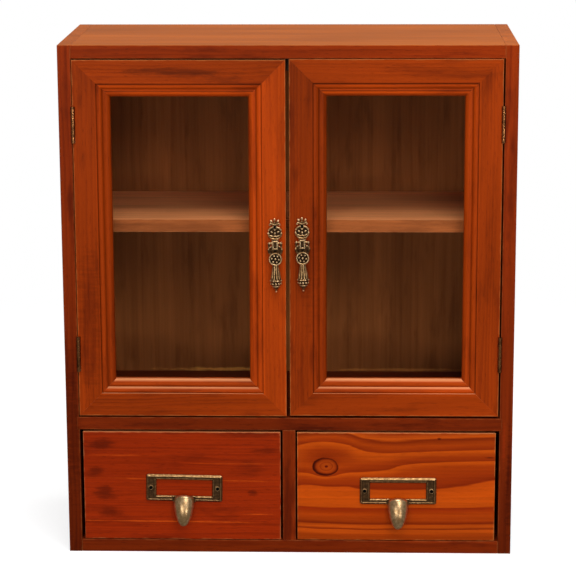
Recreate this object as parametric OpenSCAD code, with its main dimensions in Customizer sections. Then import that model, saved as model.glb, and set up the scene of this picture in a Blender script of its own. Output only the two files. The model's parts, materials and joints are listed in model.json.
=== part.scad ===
// Tabletop cabinet of stained wood: two glazed, inset doors over two drawers, with antique brass fittings.
// The front faces -Y. The origin is the middle of the case's footprint, on the surface that it stands on.
// Pieces are drawn as on the left half of the cabinet, and on_side() mirrors them to the right half.

/* [Case] */
// Outside width of the case
case_w = 380; // [360:1:440]
// Depth of the case, from its front edges to its back
case_d = 160; // [150:1:200]
// Outside height of the case
case_h = 438; // [420:1:480]
// Thickness of the case boards, the drawer divider and the shelf
board_t = 11; // [10:0.5:12]
// Thickness of the back panel
panel_t = 4; // [3:0.5:5]
// Height of the underside of the middle board, which parts the drawers from the glazed space
middle_z = 109.5; // [106:0.5:116]
// Height of the underside of the shelf
shelf_z = 277; // [250:1:290]
// Distance of the shelf's front edge behind the front of the case
shelf_setback = 23; // [20:1:50]

/* [Doors] */
// Thickness of the door frames
door_t = 14; // [13:0.5:15]
// Width of a door frame member, from its outer edge to the glass opening
member_w = 31; // [28:0.5:34]
// Width of the moulding along a member's inner edge
moulding_w = 11.5; // [10:0.5:12.5]
// Thickness of the glass
glass_t = 2; // [2:0.5:3]
// Gap between the left door and the case, on the hinge side
left_hinge_gap = 0.6; // [0.4:0.1:0.8]
// Gap between the right door and the case, on the hinge side
right_hinge_gap = 1.5; // [0.4:0.1:1.5]
// Gap between the two doors
meeting_gap = 3.1; // [2.5:0.1:4]
// Gap under the left door
door_bottom_gap = 1.5; // [1:0.1:2]
// Gap over the left door
door_top_gap = 1.2; // [1:0.1:2]
// How much higher the right door hangs
right_door_lift = 0.6; // [0:0.1:0.8]

/* [Hinges] */
// Height of a butt hinge
hinge_h = 30.5; // [28:0.5:34]
// Distance from a door's end to the nearer hinge
hinge_inset = 38.7; // [30:0.1:60]
// Radius of the hinge barrel
barrel_r = 1.6; // [1.5:0.1:1.8]
// Radius of the hinge pin
pin_r = 0.7; // [0.6:0.05:0.8]
// Thickness of a hinge leaf
leaf_t = 1; // [0.8:0.1:1.2]

/* [Drawers] */
// Width of a drawer front
front_w = 169; // [150:0.5:169]
// Height of a drawer front
front_h = 96; // [85:0.5:96]
// Thickness of a drawer front
front_t = 12; // [11:0.5:14]
// Thickness of a drawer's sides and back
drawer_t = 8; // [6:0.5:9]
// Height of a drawer's sides
drawer_side_h = 84; // [70:0.5:84]
// Thickness of a drawer's bottom
bottom_t = 3; // [2.5:0.5:4]

/* [Pulls] */
// Distance of the left drop pull's pivot from the middle of the cabinet
left_pull_x = 10.9; // [10.5:0.1:14]
// Distance of the right drop pull's pivot from the middle of the cabinet
right_pull_x = 11.9; // [10.5:0.1:14]
// Height of the left drop pull's pivot
left_pull_z = 272.9; // [250:0.1:300]
// Height of the right drop pull's pivot
right_pull_z = 273.8; // [250:0.1:300]
// Lean of the drop pulls to the left, in degrees
pull_lean = 1.2; // [0:0.1:2]
// Width of a label holder
label_w = 65.5; // [60:0.5:75]
// Height of a label holder
label_h = 23.6; // [22:0.1:28]
// Height of the left label holder's centre
left_label_z = 57.8; // [50:0.1:65]
// Height of the right label holder's centre
right_label_z = 56.1; // [50:0.1:65]
// Tilt of the left label holder, in degrees
left_label_tilt = 1; // [0:0.1:2]

/* [Hidden] */

$fn = 48;
LEFT = -1;
RIGHT = 1;
WOOD = [0.60, 0.22, 0.06];
PALE_WOOD = [0.72, 0.42, 0.20];
DARK_WOOD = [0.42, 0.17, 0.07];
BRASS = [0.52, 0.42, 0.26];
STEEL = [0.62, 0.62, 0.60];
GLASS = [0.85, 0.92, 0.90, 0.35];
PLASTIC = [0.30, 0.20, 0.14];

// The case
half_w = case_w / 2;
front_y = -case_d / 2;
back_y = case_d / 2;
panel_y = back_y - panel_t;
inner_x = half_w - board_t;
middle_top = middle_z + board_t;
top_under = case_h - board_t;
rabbet_w = 5;
housing_d = 2;
panel_slack = 0.25;
shelf_slack = 0.5;
// Room round a fastener in the hole that is cut for it
fit = 0.02;
// How far a cutting solid runs past the face that it opens
over = 1;

// Shelf pegs
peg_r = 2.5;
peg_in = 7;
peg_out = 7;
peg_from_edge = 20;

// Brads: the head lies flush with the wood
nail_r = 0.6;
nail_head_r = 0.9;
nail_head_t = 0.6;
nail_l = 20;
nail_tip = 1.5;
nail_point_r = 0.1;
// Places of the case's brads: down the sides, through the boards into the divider, and round the back
side_brad_ys = [-0.36, 0, 0.36] * case_d;
divider_brad_ys = [-0.3, 0.3] * case_d;
back_brad_zs = [0.12, 0.4, 0.64, 0.88] * case_h;
back_brad_xs = [-0.32, -0.11, 0.11, 0.32] * case_w;
back_brad_from_inside = 3.1;

// Countersunk screws of the hinges, the catch and the strike plates
screw_r = 1;
screw_head_r = 2;
screw_head_t = 1;
screw_l = 8;
screw_tip = 1.5;
screw_point_r = 0.2;

// Doors
door_w = inner_x - (left_hinge_gap + right_hinge_gap + meeting_gap) / 2;
door_h = top_under - middle_top - door_bottom_gap - door_top_gap;
door_back_y = front_y + door_t;
quirk = 1.6;
first_bead_r = 4;
second_bead_r = 4.6;
flat_w = member_w - moulding_w;
// Where the two beads meet, as a share of the moulding's width and as a depth
bead_share = 0.45;
bead_depth = 3.6;
bead_split = [flat_w + bead_share * moulding_w, bead_depth];
sight_depth = 6;
lip_back = 8.5;
glass_rabbet = 6;
glass_slack = 0.5;
strip_w = 5.5;

// Hinges
hinge_axis_gap = 0.9;
hinge_proud = 0.6;
leaf_in = 0.15;
leaf_edge = 2.1;
leaf_w = 10.5;
leaf_screw_y = 6.5;
leaf_screw_from_end = 7.5;
leaf_screws = [leaf_screw_from_end, hinge_h - leaf_screw_from_end];
knuckle_count = 5;
knuckle_gap = 0.2;
knuckle_pitch = hinge_h / knuckle_count;
case_knuckles = [0, 2, 4];
door_knuckles = [1, 3];
pin_slack = 0.05;
barrel_room = 0.4;

// Magnetic catch and strike plates
strike_t = 1;
strike_w = 14;
strike_h = 17;
strike_x = 11;
strike_drop = 1.5;
strike_screw_up = 4;
catch_gap = 0.2;
catch_y = door_back_y + strike_t + catch_gap;
catch_w = 38;
catch_d = 13;
catch_h = 12;
ear_w = 9;
ear_t = 3;
ear_inset = 1.5;
magnet = [12, 10, 5];
magnet_drop = 6;

// Drawers
front_recess = 0.3;
front_lift = 0.5;
front_z = board_t + front_lift;
drawer_lift = 0.3;
drawer_z = board_t + drawer_lift;
left_drawer_x = 91.75;
right_drawer_x = 91.4;
box_inset = 0.5;
box_w = front_w - 2 * box_inset;
box_in = box_w / 2 - drawer_t;
lap = 7;
groove_d = 3;
groove_z = 5;
drawer_back_drop = 6;
drawer_back_h = drawer_side_h - drawer_back_drop;
drawer_rear_gap = 0.5;
drawer_rear = panel_y - drawer_rear_gap;
front_back = front_y + front_recess + front_t;
drawer_brad_zs = [0.22, 0.55, 0.86] * drawer_side_h;

// Drop pulls, measured from the pivot
pivot_out = 4.2;
bar_r = 0.9;
bar_slack = 0.05;
bar_half = 5.3;
strap_half = 2.2;
strap_top = 2.3;
strap_low = -5.2;
strap_out = 6.1;
// The strap's window: how far it lies inside the sides and the ends, and how deep it is sunk
strap_side = 1.1;
strap_end = 1.4;
strap_sink = 0.5;
plate_t = 1.4;
neck = [6, 8];
neck_low = -4;
lobe_r = 2.9;
lobe_at = [3.3, -6.2];
tail_r = 2.6;
tail_z = -7.6;
crown_r = 2.7;
petal_turn = 30;
petal_w = 1.5;
petal_l = 6.5;
petal_r = 1.1;
leaf_tip = [3.6, 2.8];
leaf_root = [0, 1.6];
rosette_z = 8;
rosette_r = 6;
rosette_t = 1.8;
rosette_eye_r = 1;
rosette_dots = 5;
rosette_dots_at = 2.9;
dot_r = 0.9;
// Round rims of the rosette and of the medallion
bead_rim_r = 0.6;
medallion_z = -13.3;
medallion_r = 5.6;
medallion_back = 1.4;
medallion_front = 1.6;
medallion_dots = 6;
medallion_dots_at = 3;
pull_nail_zs = [13.2, -6.4];
pull_nail_head_r = 1.3;
pull_nail_head_t = 0.5;
pull_nail_r = 0.7;
pull_nail_l = 9;
pendant_back = 0.6;
pendant_room = [20, 20, 50];
// The pendant's loop, as seen from the front: its outline, its opening, and the room for the strap
loop_t = 1.8;
loop_outline = [[-5.3, 1], [5.3, 1], [6.3, -4.5], [4.6, -9.5], [-4.6, -9.5], [-6.3, -4.5]];
loop_opening = [[-3.7, -0.9], [3.7, -0.9], [4.3, -4.5], [2.7, -8], [-2.7, -8], [-4.3, -4.5]];
loop_slack = 0.3;
loop_notch = [-1, 3];
// The pendant's stem: radius and height at each turn of its outline
stem_profile = [
    [0, -18.2], [2.2, -18.2], [4.1, -30.6], [5.1, -30.9], [5.1, -32], [4.4, -32.4],
    [4.4, -35.2], [4.3, -35.6], [4.3, -36.6], [2.2, -39.2], [0.7, -40], [0.7, -41.6], [0, -42]
];
flute_turns = [-160:35:-20];
flute_r = 0.65;
flute_l = 12.6;
flute_top = [2.1, 0, -18.4];
flute_lean = 8.8;
stem_bead_turns = [-180:36:0];
stem_bead_r = 1.2;
stem_beads_at = 4.3;
stem_beads_z = -33.9;

// Label holders, measured from the centre of the plate
label_t = 1.6;
label_rim_t = 2.4;
label_rim_w = 1.3;
label_corner = 2;
window_w = 48;
window_h = 14.3;
window_up = 0.1;
card_slot = [52, 0.6, 18];
pad_x = 28.6;
label_pin_r = 0.8;
label_pin_head_r = 1.5;
label_pin_head_t = 0.6;
label_pin_l = 9;
left_label_x = 90;
right_label_x = 93.2;
hook_r = 9.15;
hook_l = 21.4;
hook_top = 5;
hook_wall = 1.2;
hook_tilt = 22;
hook_at = [0, -1.6, -10.6];
// How its width falls off toward the tip
hook_taper = 1.3;
hook_round = 0.42;
hook_steps = 16;

// Where a piece of one half lies
function hinge_gap(side) = side == LEFT ? left_hinge_gap : right_hinge_gap;
function door_x(side) = -inner_x + hinge_gap(side);
function door_z(side) = middle_top + door_bottom_gap + (side == LEFT ? 0 : right_door_lift);
function hinge_zs(side) = [door_z(side) + hinge_inset, door_z(side) + door_h - hinge_inset - hinge_h];
function pull_x(side) = side == LEFT ? left_pull_x : right_pull_x;
function pull_z(side) = side == LEFT ? left_pull_z : right_pull_z;
function drawer_x(side) = side == LEFT ? -left_drawer_x : -right_drawer_x;
function label_x(side) = side == LEFT ? -left_label_x : -right_label_x;
function label_z(side) = side == LEFT ? left_label_z : right_label_z;
function label_tilt(side) = side == LEFT ? left_label_tilt : 0;

// The centre of the arc of radius r that bulges forward between two points of the moulding
function arc_centre(a, b, r) =
    let (chord = b - a, half = norm(chord) / 2, into = [-chord[1], chord[0]] / norm(chord))
    (a + b) / 2 + into * sqrt(r * r - half * half);

module on_side(side) {
    if (side == RIGHT) mirror([1, 0, 0]) children();
    else children();
}

// Fasteners point along +Z, with the top of the head at 0
module nail(slack = 0) {
    cylinder(r = nail_head_r + slack, h = nail_head_t);
    cylinder(r = nail_r + slack, h = nail_l - nail_tip);
    translate([0, 0, nail_l - nail_tip]) cylinder(r1 = nail_r + slack, r2 = nail_point_r, h = nail_tip);
}

module screw(slack = 0) {
    cylinder(r1 = screw_head_r + slack, r2 = screw_r + slack, h = screw_head_t);
    cylinder(r = screw_r + slack, h = screw_l - screw_tip);
    translate([0, 0, screw_l - screw_tip])
        cylinder(r1 = screw_r + slack, r2 = screw_point_r, h = screw_tip);
}

module headed_pin(head_r, head_t, r, length, slack = 0) {
    translate([0, 0, -head_t]) cylinder(r = head_r + slack, h = head_t);
    cylinder(r = r + slack, h = length);
}

// Brads through the sides into the boards, through the boards into the divider, and through the back
module case_brads(slack = 0) {
    for (side = [LEFT, RIGHT], z = [board_t / 2, middle_z + board_t / 2, case_h - board_t / 2],
         y = side_brad_ys)
        translate([side * half_w, y, z]) rotate([0, -side * 90, 0]) nail(slack);
    for (y = divider_brad_ys) {
        translate([0, y, 0]) nail(slack);
        translate([0, y, middle_top]) mirror([0, 0, 1]) nail(slack);
    }
    for (side = [LEFT, RIGHT], z = back_brad_zs)
        translate([side * (inner_x + back_brad_from_inside), back_y, z]) rotate([90, 0, 0]) nail(slack);
    for (x = back_brad_xs,
         z = [board_t - rabbet_w / 2, middle_z + board_t / 2, top_under + rabbet_w / 2])
        translate([x, back_y, z]) rotate([90, 0, 0]) nail(slack);
}

// Case boards
module side_board(side) {
    color(WOOD) on_side(side) difference() {
        translate([-half_w, front_y, 0]) cube([board_t, case_d, case_h]);
        translate([-inner_x - rabbet_w, panel_y, board_t - rabbet_w])
            cube([rabbet_w + over, panel_t + over, top_under - board_t + 2 * rabbet_w]);
        translate([-inner_x - housing_d, front_y - over, middle_z])
            cube([housing_d + over, case_d - panel_t + over, board_t]);
        for (z = hinge_zs(side)) at_hinge(z) mirror([1, 0, 0]) hinge_mortise();
        peg_set();
        on_side(side) case_brads(fit);
        hinge_screws_on_case(side, fit);
    }
}

module top_board() {
    color(WOOD) difference() {
        translate([-inner_x, front_y, top_under]) cube([2 * inner_x, case_d, board_t]);
        translate([-half_w, panel_y, top_under - over])
            cube([case_w, panel_t + over, rabbet_w + over]);
        case_brads(fit);
        catch_screws(fit);
    }
}

module bottom_board() {
    color(WOOD) difference() {
        translate([-inner_x, front_y, 0]) cube([2 * inner_x, case_d, board_t]);
        translate([-half_w, panel_y, board_t - rabbet_w])
            cube([case_w, panel_t + over, rabbet_w + over]);
        case_brads(fit);
    }
}

module middle_board() {
    color(WOOD) difference() {
        translate([-inner_x - housing_d, front_y, middle_z])
            cube([2 * (inner_x + housing_d), case_d - panel_t, board_t]);
        case_brads(fit);
    }
}

module drawer_divider() {
    color(WOOD) difference() {
        translate([-board_t / 2, front_y, board_t]) cube([board_t, case_d - panel_t, middle_z - board_t]);
        case_brads(fit);
    }
}

module shelf() {
    color(PALE_WOOD)
        translate([-inner_x + shelf_slack, front_y + shelf_setback, shelf_z])
        cube([2 * (inner_x - shelf_slack), case_d - panel_t - shelf_setback - shelf_slack, board_t]);
}

module back_panel() {
    panel_half = inner_x + rabbet_w - panel_slack;
    color(DARK_WOOD) difference() {
        translate([-panel_half, panel_y, board_t - rabbet_w + panel_slack])
            cube([2 * panel_half, panel_t, top_under - board_t + 2 * (rabbet_w - panel_slack)]);
        case_brads(fit);
    }
}

// The pegs of one half, with the shelf lying on top of them
module peg_set() {
    for (y = [front_y + shelf_setback + peg_from_edge, panel_y - peg_from_edge])
        translate([-inner_x - peg_in, y, shelf_z - peg_r]) rotate([0, 90, 0])
            cylinder(r = peg_r, h = peg_in + peg_out);
}

module shelf_pegs() {
    color(PALE_WOOD) for (side = [LEFT, RIGHT]) on_side(side) peg_set();
}

// Hinges: the axis is at the origin, the door lies toward +X and the inside toward +Y
module at_hinge(z) {
    translate([-inner_x + hinge_axis_gap, front_y - hinge_proud, z]) children();
}

module hinge_leaf(knuckles, bore_r) {
    color(BRASS) difference() {
        union() {
            translate([leaf_in, leaf_edge, 0]) cube([leaf_t, leaf_w - leaf_edge, hinge_h]);
            for (k = knuckles) translate([0, 0, k * knuckle_pitch + knuckle_gap / 2]) {
                cylinder(r = barrel_r, h = knuckle_pitch - knuckle_gap);
                translate([leaf_in, 0, 0]) cube([leaf_t, leaf_edge + over, knuckle_pitch - knuckle_gap]);
            }
        }
        translate([0, 0, -over]) cylinder(r = bore_r, h = hinge_h + 2 * over);
        leaf_screw_set(fit);
    }
}

module leaf_screw_set(slack = 0) {
    for (z = leaf_screws) translate([leaf_in, leaf_screw_y, z]) rotate([0, 90, 0]) screw(slack);
}

// What is cut from the wood for a leaf and for the barrel
module hinge_mortise() {
    translate([leaf_in, 0, 0]) cube([leaf_t, leaf_w, hinge_h]);
    translate([-over, 0, 0]) cube([leaf_in + over, leaf_w, hinge_h]);
    cylinder(r = barrel_r + barrel_room, h = hinge_h);
}

module case_leaf(side, index) {
    on_side(side) at_hinge(hinge_zs(side)[index]) mirror([1, 0, 0]) hinge_leaf(case_knuckles, pin_r);
}

module door_leaf(side, index) {
    on_side(side) at_hinge(hinge_zs(side)[index]) hinge_leaf(door_knuckles, pin_r + pin_slack);
}

module hinge_pins() {
    color(BRASS) for (side = [LEFT, RIGHT], z = hinge_zs(side))
        on_side(side) at_hinge(z + knuckle_gap / 2) cylinder(r = pin_r, h = hinge_h - knuckle_gap);
}

module hinge_screws_on_case(side, slack = 0) {
    for (z = hinge_zs(side)) at_hinge(z) mirror([1, 0, 0]) leaf_screw_set(slack);
}

module hinge_screws_on_door(side, slack = 0) {
    for (z = hinge_zs(side)) at_hinge(z) leaf_screw_set(slack);
}

module case_screws() {
    color(BRASS) for (side = [LEFT, RIGHT]) on_side(side) hinge_screws_on_case(side);
    color(BRASS) catch_screws();
}

// Magnetic catch under the top board
module catch_screws(slack = 0) {
    for (side = [LEFT, RIGHT])
        translate([side * (catch_w + ear_w) / 2, catch_y + catch_d / 2, top_under - ear_t]) screw(slack);
}

module catch_magnets() {
    color(STEEL) for (side = [LEFT, RIGHT])
        translate([side * strike_x - magnet[0] / 2, catch_y, top_under - magnet_drop - magnet[2] / 2])
            cube(magnet);
}

module catch_housing() {
    color(PLASTIC) difference() {
        union() {
            translate([-catch_w / 2, catch_y, top_under - catch_h]) cube([catch_w, catch_d, catch_h]);
            translate([-catch_w / 2 - ear_w, catch_y + ear_inset, top_under - ear_t])
                cube([catch_w + 2 * ear_w, catch_d - 2 * ear_inset, ear_t]);
        }
        catch_magnets();
        catch_screws(fit);
    }
}

// Doors: a member lies along X with its outer edge at 0, its front at y = 0 and its length centred
module member_profile() {
    sight = [member_w, sight_depth];
    start = [flat_w, quirk];
    polygon([
        [0, 0], [flat_w, 0], start, bead_split, sight, [member_w, lip_back],
        [member_w - glass_rabbet, lip_back], [member_w - glass_rabbet, door_t], [0, door_t]
    ]);
    intersection() {
        square([member_w, lip_back]);
        union() {
            translate(arc_centre(start, bead_split, first_bead_r)) circle(r = first_bead_r);
            translate(arc_centre(bead_split, sight, second_bead_r)) circle(r = second_bead_r);
        }
    }
}

// A prism with ends cut at 45 degrees, as seen from the front
module mitred(length, outer, inner, depth) {
    translate([0, depth, 0]) rotate([90, 0, 0]) linear_extrude(depth) polygon([
        [outer - length / 2, outer], [length / 2 - outer, outer],
        [length / 2 - inner, inner], [inner - length / 2, inner]
    ]);
}

module frame_member(length) {
    intersection() {
        rotate([0, -90, 0]) linear_extrude(length, center = true) member_profile();
        mitred(length, 0, member_w, door_t);
    }
}

// Puts a member on an edge of the door: 0 bottom, 1 meeting side, 2 top, 3 hinge side
module on_edge(side, edge) {
    reach = edge % 2 == 0 ? door_h / 2 : door_w / 2;
    translate([door_x(side) + door_w / 2, front_y, door_z(side) + door_h / 2])
        rotate([0, -90 * edge, 0]) translate([0, 0, -reach]) children();
}

module door_member(side, edge) {
    color(WOOD) on_side(side) difference() {
        on_edge(side, edge) frame_member(edge % 2 == 0 ? door_w : door_h);
        if (edge == 3) {
            for (z = hinge_zs(side)) at_hinge(z) hinge_mortise();
            hinge_screws_on_door(side, fit);
        }
        if (edge == 1) at_pull(side) pull_nail_set(fit);
        if (edge == 1 || edge == 2) strike_screw(side, fit);
    }
}

module door_glass(side) {
    inset = member_w - glass_rabbet + glass_slack;
    color(GLASS) on_side(side)
        translate([door_x(side) + inset, front_y + lip_back, door_z(side) + inset])
        cube([door_w - 2 * inset, glass_t, door_h - 2 * inset]);
}

// The four strips that hold the glass in its rabbet
module glass_beads(side) {
    outer = member_w - glass_rabbet;
    depth = door_t - lip_back - glass_t;
    color(WOOD) on_side(side) for (edge = [0:3])
        on_edge(side, edge) translate([0, door_t - depth, 0])
            mitred(edge % 2 == 0 ? door_w : door_h, outer, outer + strip_w, depth);
}

module at_strike(side) {
    translate([-strike_x, door_back_y, door_z(side) + door_h - strike_drop - strike_h]) children();
}

module strike_screw(side, slack = 0) {
    at_strike(side) translate([0, strike_t, strike_screw_up]) rotate([90, 0, 0]) screw(slack);
}

module strike_plate(side) {
    color(STEEL) on_side(side) difference() {
        at_strike(side) translate([-strike_w / 2, 0, 0]) cube([strike_w, strike_t, strike_h]);
        strike_screw(side, fit);
    }
}

module door_screws(side) {
    color(BRASS) on_side(side) {
        hinge_screws_on_door(side);
        strike_screw(side);
    }
}

// Drop pulls: the origin is on the face of the door, behind the pivot
module at_pull(side) {
    translate([-pull_x(side), front_y, pull_z(side)]) rotate([0, side * pull_lean, 0]) children();
}

// A flat shape drawn as seen from the front, standing out from y = 0 toward -Y
module relief(height) {
    rotate([90, 0, 0]) linear_extrude(height) children();
}

module dot(x, z, out, r) {
    translate([x, -out, z]) sphere(r = r, $fn = 16);
}

// A round rim that lies round a disc
module bead_rim(r, z, out) {
    translate([0, -out, z]) rotate([90, 0, 0])
        rotate_extrude() translate([r - bead_rim_r, 0]) circle(r = bead_rim_r, $fn = 16);
}

module ring_of_dots(count, r, first, z, out) {
    for (i = [0:count - 1]) let (a = first + i * 360 / count)
        dot(r * cos(a), z + r * sin(a), out, dot_r);
}

module pull_nail_set(slack = 0) {
    for (z = pull_nail_zs) translate([0, -plate_t, z]) rotate([-90, 0, 0])
        headed_pin(pull_nail_head_r, pull_nail_head_t, pull_nail_r, pull_nail_l, slack);
}

// Three petals over two curled leaves
module crown() {
    circle(r = crown_r);
    for (petal = [-1:1]) rotate(petal * petal_turn) {
        translate([-petal_w / 2, 0]) square([petal_w, petal_l]);
        translate([0, petal_l]) circle(r = petal_r);
    }
    for (x = [-1, 1]) hull() {
        translate(leaf_root) circle(r = petal_w / 2);
        translate([x * leaf_tip[0], leaf_tip[1]]) circle(r = petal_r);
    }
}

module pull_backplate(side) {
    color(BRASS) on_side(side) difference() {
        at_pull(side) {
            relief(plate_t) {
                translate([0, pull_nail_zs[0]]) crown();
                translate([-neck[0] / 2, neck_low]) square(neck);
                for (x = [-1, 1]) translate([x * lobe_at[0], lobe_at[1]]) circle(r = lobe_r);
                translate([0, tail_z]) circle(r = tail_r);
            }
            translate([0, 0, rosette_z]) relief(rosette_t) circle(r = rosette_r);
            bead_rim(rosette_r, rosette_z, rosette_t);
            ring_of_dots(rosette_dots, rosette_dots_at, 90 / rosette_dots, rosette_z, rosette_t);
            dot(0, rosette_z, rosette_t, rosette_eye_r);
            strap();
        }
        at_pull(side) pull_nail_set(fit);
    }
}

// The strap that is folded round the pendant's bar
module strap() {
    difference() {
        translate([-strap_half, -strap_out, strap_low])
            cube([2 * strap_half, strap_out - plate_t / 2, strap_top - strap_low]);
        translate([-strap_half - over, -pivot_out, 0]) rotate([0, 90, 0])
            cylinder(r = bar_r + bar_slack, h = 2 * (strap_half + over));
        translate([-strap_half + strap_side, -strap_out - over, strap_low + strap_end])
            cube([2 * (strap_half - strap_side), over + strap_sink, strap_top - strap_low - 2 * strap_end]);
    }
}

module pull_nails(side) {
    color(BRASS) on_side(side) at_pull(side) pull_nail_set();
}

// The loop that hangs the pendant from its bar, round the strap
module stirrup() {
    room = strap_half + loop_slack;
    translate([0, loop_t / 2, 0]) relief(loop_t) difference() {
        polygon(loop_outline);
        polygon(loop_opening);
        translate([-room, loop_notch[0]]) square([2 * room, loop_notch[1]]);
    }
    translate([-bar_half, 0, 0]) rotate([0, 90, 0]) cylinder(r = bar_r, h = 2 * bar_half);
}

// The medallion with its rim and seven dots
module medallion() {
    translate([0, medallion_back, medallion_z])
        relief(medallion_back + medallion_front) circle(r = medallion_r);
    bead_rim(medallion_r, medallion_z, medallion_front);
    dot(0, medallion_z, medallion_front, dot_r);
    ring_of_dots(medallion_dots, medallion_dots_at, 0, medallion_z, medallion_front);
}

// The fluted stem with its collar, beads and tip
module stem() {
    rotate_extrude() polygon(stem_profile);
    for (a = flute_turns) rotate(a) translate(flute_top)
        rotate([0, 180 - flute_lean, 0]) cylinder(r = flute_r, h = flute_l, $fn = 16);
    for (a = stem_bead_turns) rotate(a)
        translate([stem_beads_at, 0, stem_beads_z]) sphere(r = stem_bead_r, $fn = 16);
}

module pull_pendant(side) {
    color(BRASS) on_side(side) at_pull(side) translate([0, -pivot_out, 0]) {
        stirrup();
        intersection() {
            union() {
                medallion();
                stem();
            }
            translate([-pendant_room[0] / 2, pivot_out - pendant_back - pendant_room[1], -pendant_room[2]])
                cube(pendant_room);
        }
    }
}

// Drawers: the outer side is the one next to the side of the case
module drawer_brads(side, slack = 0) {
    for (edge = [LEFT, RIGHT], z = drawer_brad_zs,
         y = [front_back - lap / 2, drawer_rear - drawer_t / 2])
        translate([drawer_x(side) + edge * box_w / 2, y, drawer_z + z])
            rotate([0, -edge * 90, 0]) nail(slack);
}

module bottom_panel(side, slack = 0) {
    reach = box_in + groove_d;
    translate([drawer_x(side) - reach, front_back - groove_d, drawer_z + groove_z])
        cube([2 * reach, drawer_rear - drawer_t + 2 * groove_d - front_back, bottom_t + slack]);
}

module drawer_front(side) {
    color(WOOD) on_side(side) difference() {
        translate([drawer_x(side) - front_w / 2, front_y + front_recess, front_z])
            cube([front_w, front_t, front_h]);
        for (edge = [LEFT, RIGHT])
            translate([drawer_x(side) + edge * (box_in + drawer_t) - drawer_t, front_back - lap, 0])
                cube([2 * drawer_t, lap + over, case_h]);
        bottom_panel(side);
        drawer_brads(side, fit);
        at_label(side) label_pin_set(fit);
    }
}

module drawer_side(side, edge) {
    color(PALE_WOOD) on_side(side) difference() {
        translate([drawer_x(side) + edge * (box_w - drawer_t) / 2 - drawer_t / 2, front_back - lap, drawer_z])
            cube([drawer_t, drawer_rear - front_back + lap, drawer_side_h]);
        bottom_panel(side);
        drawer_brads(side, fit);
    }
}

module drawer_back(side) {
    color(PALE_WOOD) on_side(side) difference() {
        translate([drawer_x(side) - box_in, drawer_rear - drawer_t, drawer_z])
            cube([2 * box_in, drawer_t, drawer_back_h]);
        bottom_panel(side);
        drawer_brads(side, fit);
    }
}

module drawer_bottom(side) {
    color(PALE_WOOD) on_side(side) bottom_panel(side);
}

module drawer_nails(side) {
    color(STEEL) on_side(side) drawer_brads(side);
}

// Label holders: the origin is on the face of the drawer front, at the centre of the plate
module at_label(side) {
    translate([label_x(side), front_y + front_recess, label_z(side)])
        rotate([0, label_tilt(side), 0]) children();
}

module rounded(w, h, r) {
    square([w - 2 * r, h], center = true);
    square([w, h - 2 * r], center = true);
    for (x = [-1, 1], y = [-1, 1]) translate([x * (w / 2 - r), y * (h / 2 - r)]) circle(r = r);
}

module label_pin_set(slack = 0) {
    for (x = [-pad_x, pad_x]) translate([x, -label_t, 0]) rotate([-90, 0, 0])
        headed_pin(label_pin_head_r, label_pin_head_t, label_pin_r, label_pin_l, slack);
}

// The finger hook's half width at a distance s below its widest place
function hook_width(s, r, below, above) =
    s < 0 ? r * sqrt(max(0, 1 - pow(s / above, 2)))
          : r * pow(max(0, 1 - pow(s / below, hook_taper)), hook_round);

// Its outline from the top to the tip, in steps that close up toward both ends
function hook_outline(r, below, above) = [
    for (i = [0:hook_steps])
        let (s = (below - above) / 2 - (below + above) / 2 * cos(i * 180 / hook_steps))
        [hook_width(s, r, below, above), -s]
];

module finger_hook() {
    outer = hook_outline(hook_r, hook_l, hook_top);
    inner = hook_outline(hook_r - hook_wall, hook_l - hook_wall, hook_top - hook_wall);
    translate(hook_at) rotate([-hook_tilt, 0, 0]) rotate([0, 0, 180])
        rotate_extrude(angle = 180) difference() {
            polygon(outer);
            polygon(inner);
        }
}

module label_pull(side) {
    color(BRASS) on_side(side) difference() {
        at_label(side) {
            difference() {
                union() {
                    relief(label_t) rounded(label_w, label_h, label_corner);
                    relief(label_rim_t) difference() {
                        rounded(label_w, label_h, label_corner);
                        rounded(label_w - 2 * label_rim_w, label_h - 2 * label_rim_w, label_corner / 2);
                    }
                    translate([0, 0, window_up]) relief(label_rim_t)
                        square([window_w + 2 * label_rim_w, window_h + 2 * label_rim_w], center = true);
                }
                translate([0, over, window_up]) relief(label_rim_t + 2 * over)
                    square([window_w, window_h], center = true);
                translate([-card_slot[0] / 2, -card_slot[1], window_up - card_slot[2] / 2])
                    cube([card_slot[0], card_slot[1] + over, card_slot[2]]);
            }
            finger_hook();
        }
        at_label(side) label_pin_set(fit);
    }
}

module label_pins(side) {
    color(BRASS) on_side(side) at_label(side) label_pin_set();
}

side_board(LEFT);  // left_side
side_board(RIGHT);  // right_side
top_board();
bottom_board();
middle_board();
drawer_divider();
shelf();
back_panel();
shelf_pegs();
color(STEEL) case_brads();  // case_nails
case_screws();
catch_housing();
catch_magnets();
hinge_pins();
case_leaf(LEFT, 1);  // left_upper_hinge_case_leaf
case_leaf(LEFT, 0);  // left_lower_hinge_case_leaf
case_leaf(RIGHT, 1);  // right_upper_hinge_case_leaf
case_leaf(RIGHT, 0);  // right_lower_hinge_case_leaf
door_member(LEFT, 3);  // left_door_hinge_stile
door_member(LEFT, 1);  // left_door_meeting_stile
door_member(LEFT, 2);  // left_door_top_rail
door_member(LEFT, 0);  // left_door_bottom_rail
door_glass(LEFT);  // left_door_glass
glass_beads(LEFT);  // left_door_glass_beads
door_leaf(LEFT, 1);  // left_upper_hinge_door_leaf
door_leaf(LEFT, 0);  // left_lower_hinge_door_leaf
door_screws(LEFT);  // left_door_screws
strike_plate(LEFT);  // left_strike_plate
pull_backplate(LEFT);  // left_pull_backplate
pull_nails(LEFT);  // left_pull_nails
pull_pendant(LEFT);  // left_pull_pendant
door_member(RIGHT, 3);  // right_door_hinge_stile
door_member(RIGHT, 1);  // right_door_meeting_stile
door_member(RIGHT, 2);  // right_door_top_rail
door_member(RIGHT, 0);  // right_door_bottom_rail
door_glass(RIGHT);  // right_door_glass
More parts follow.
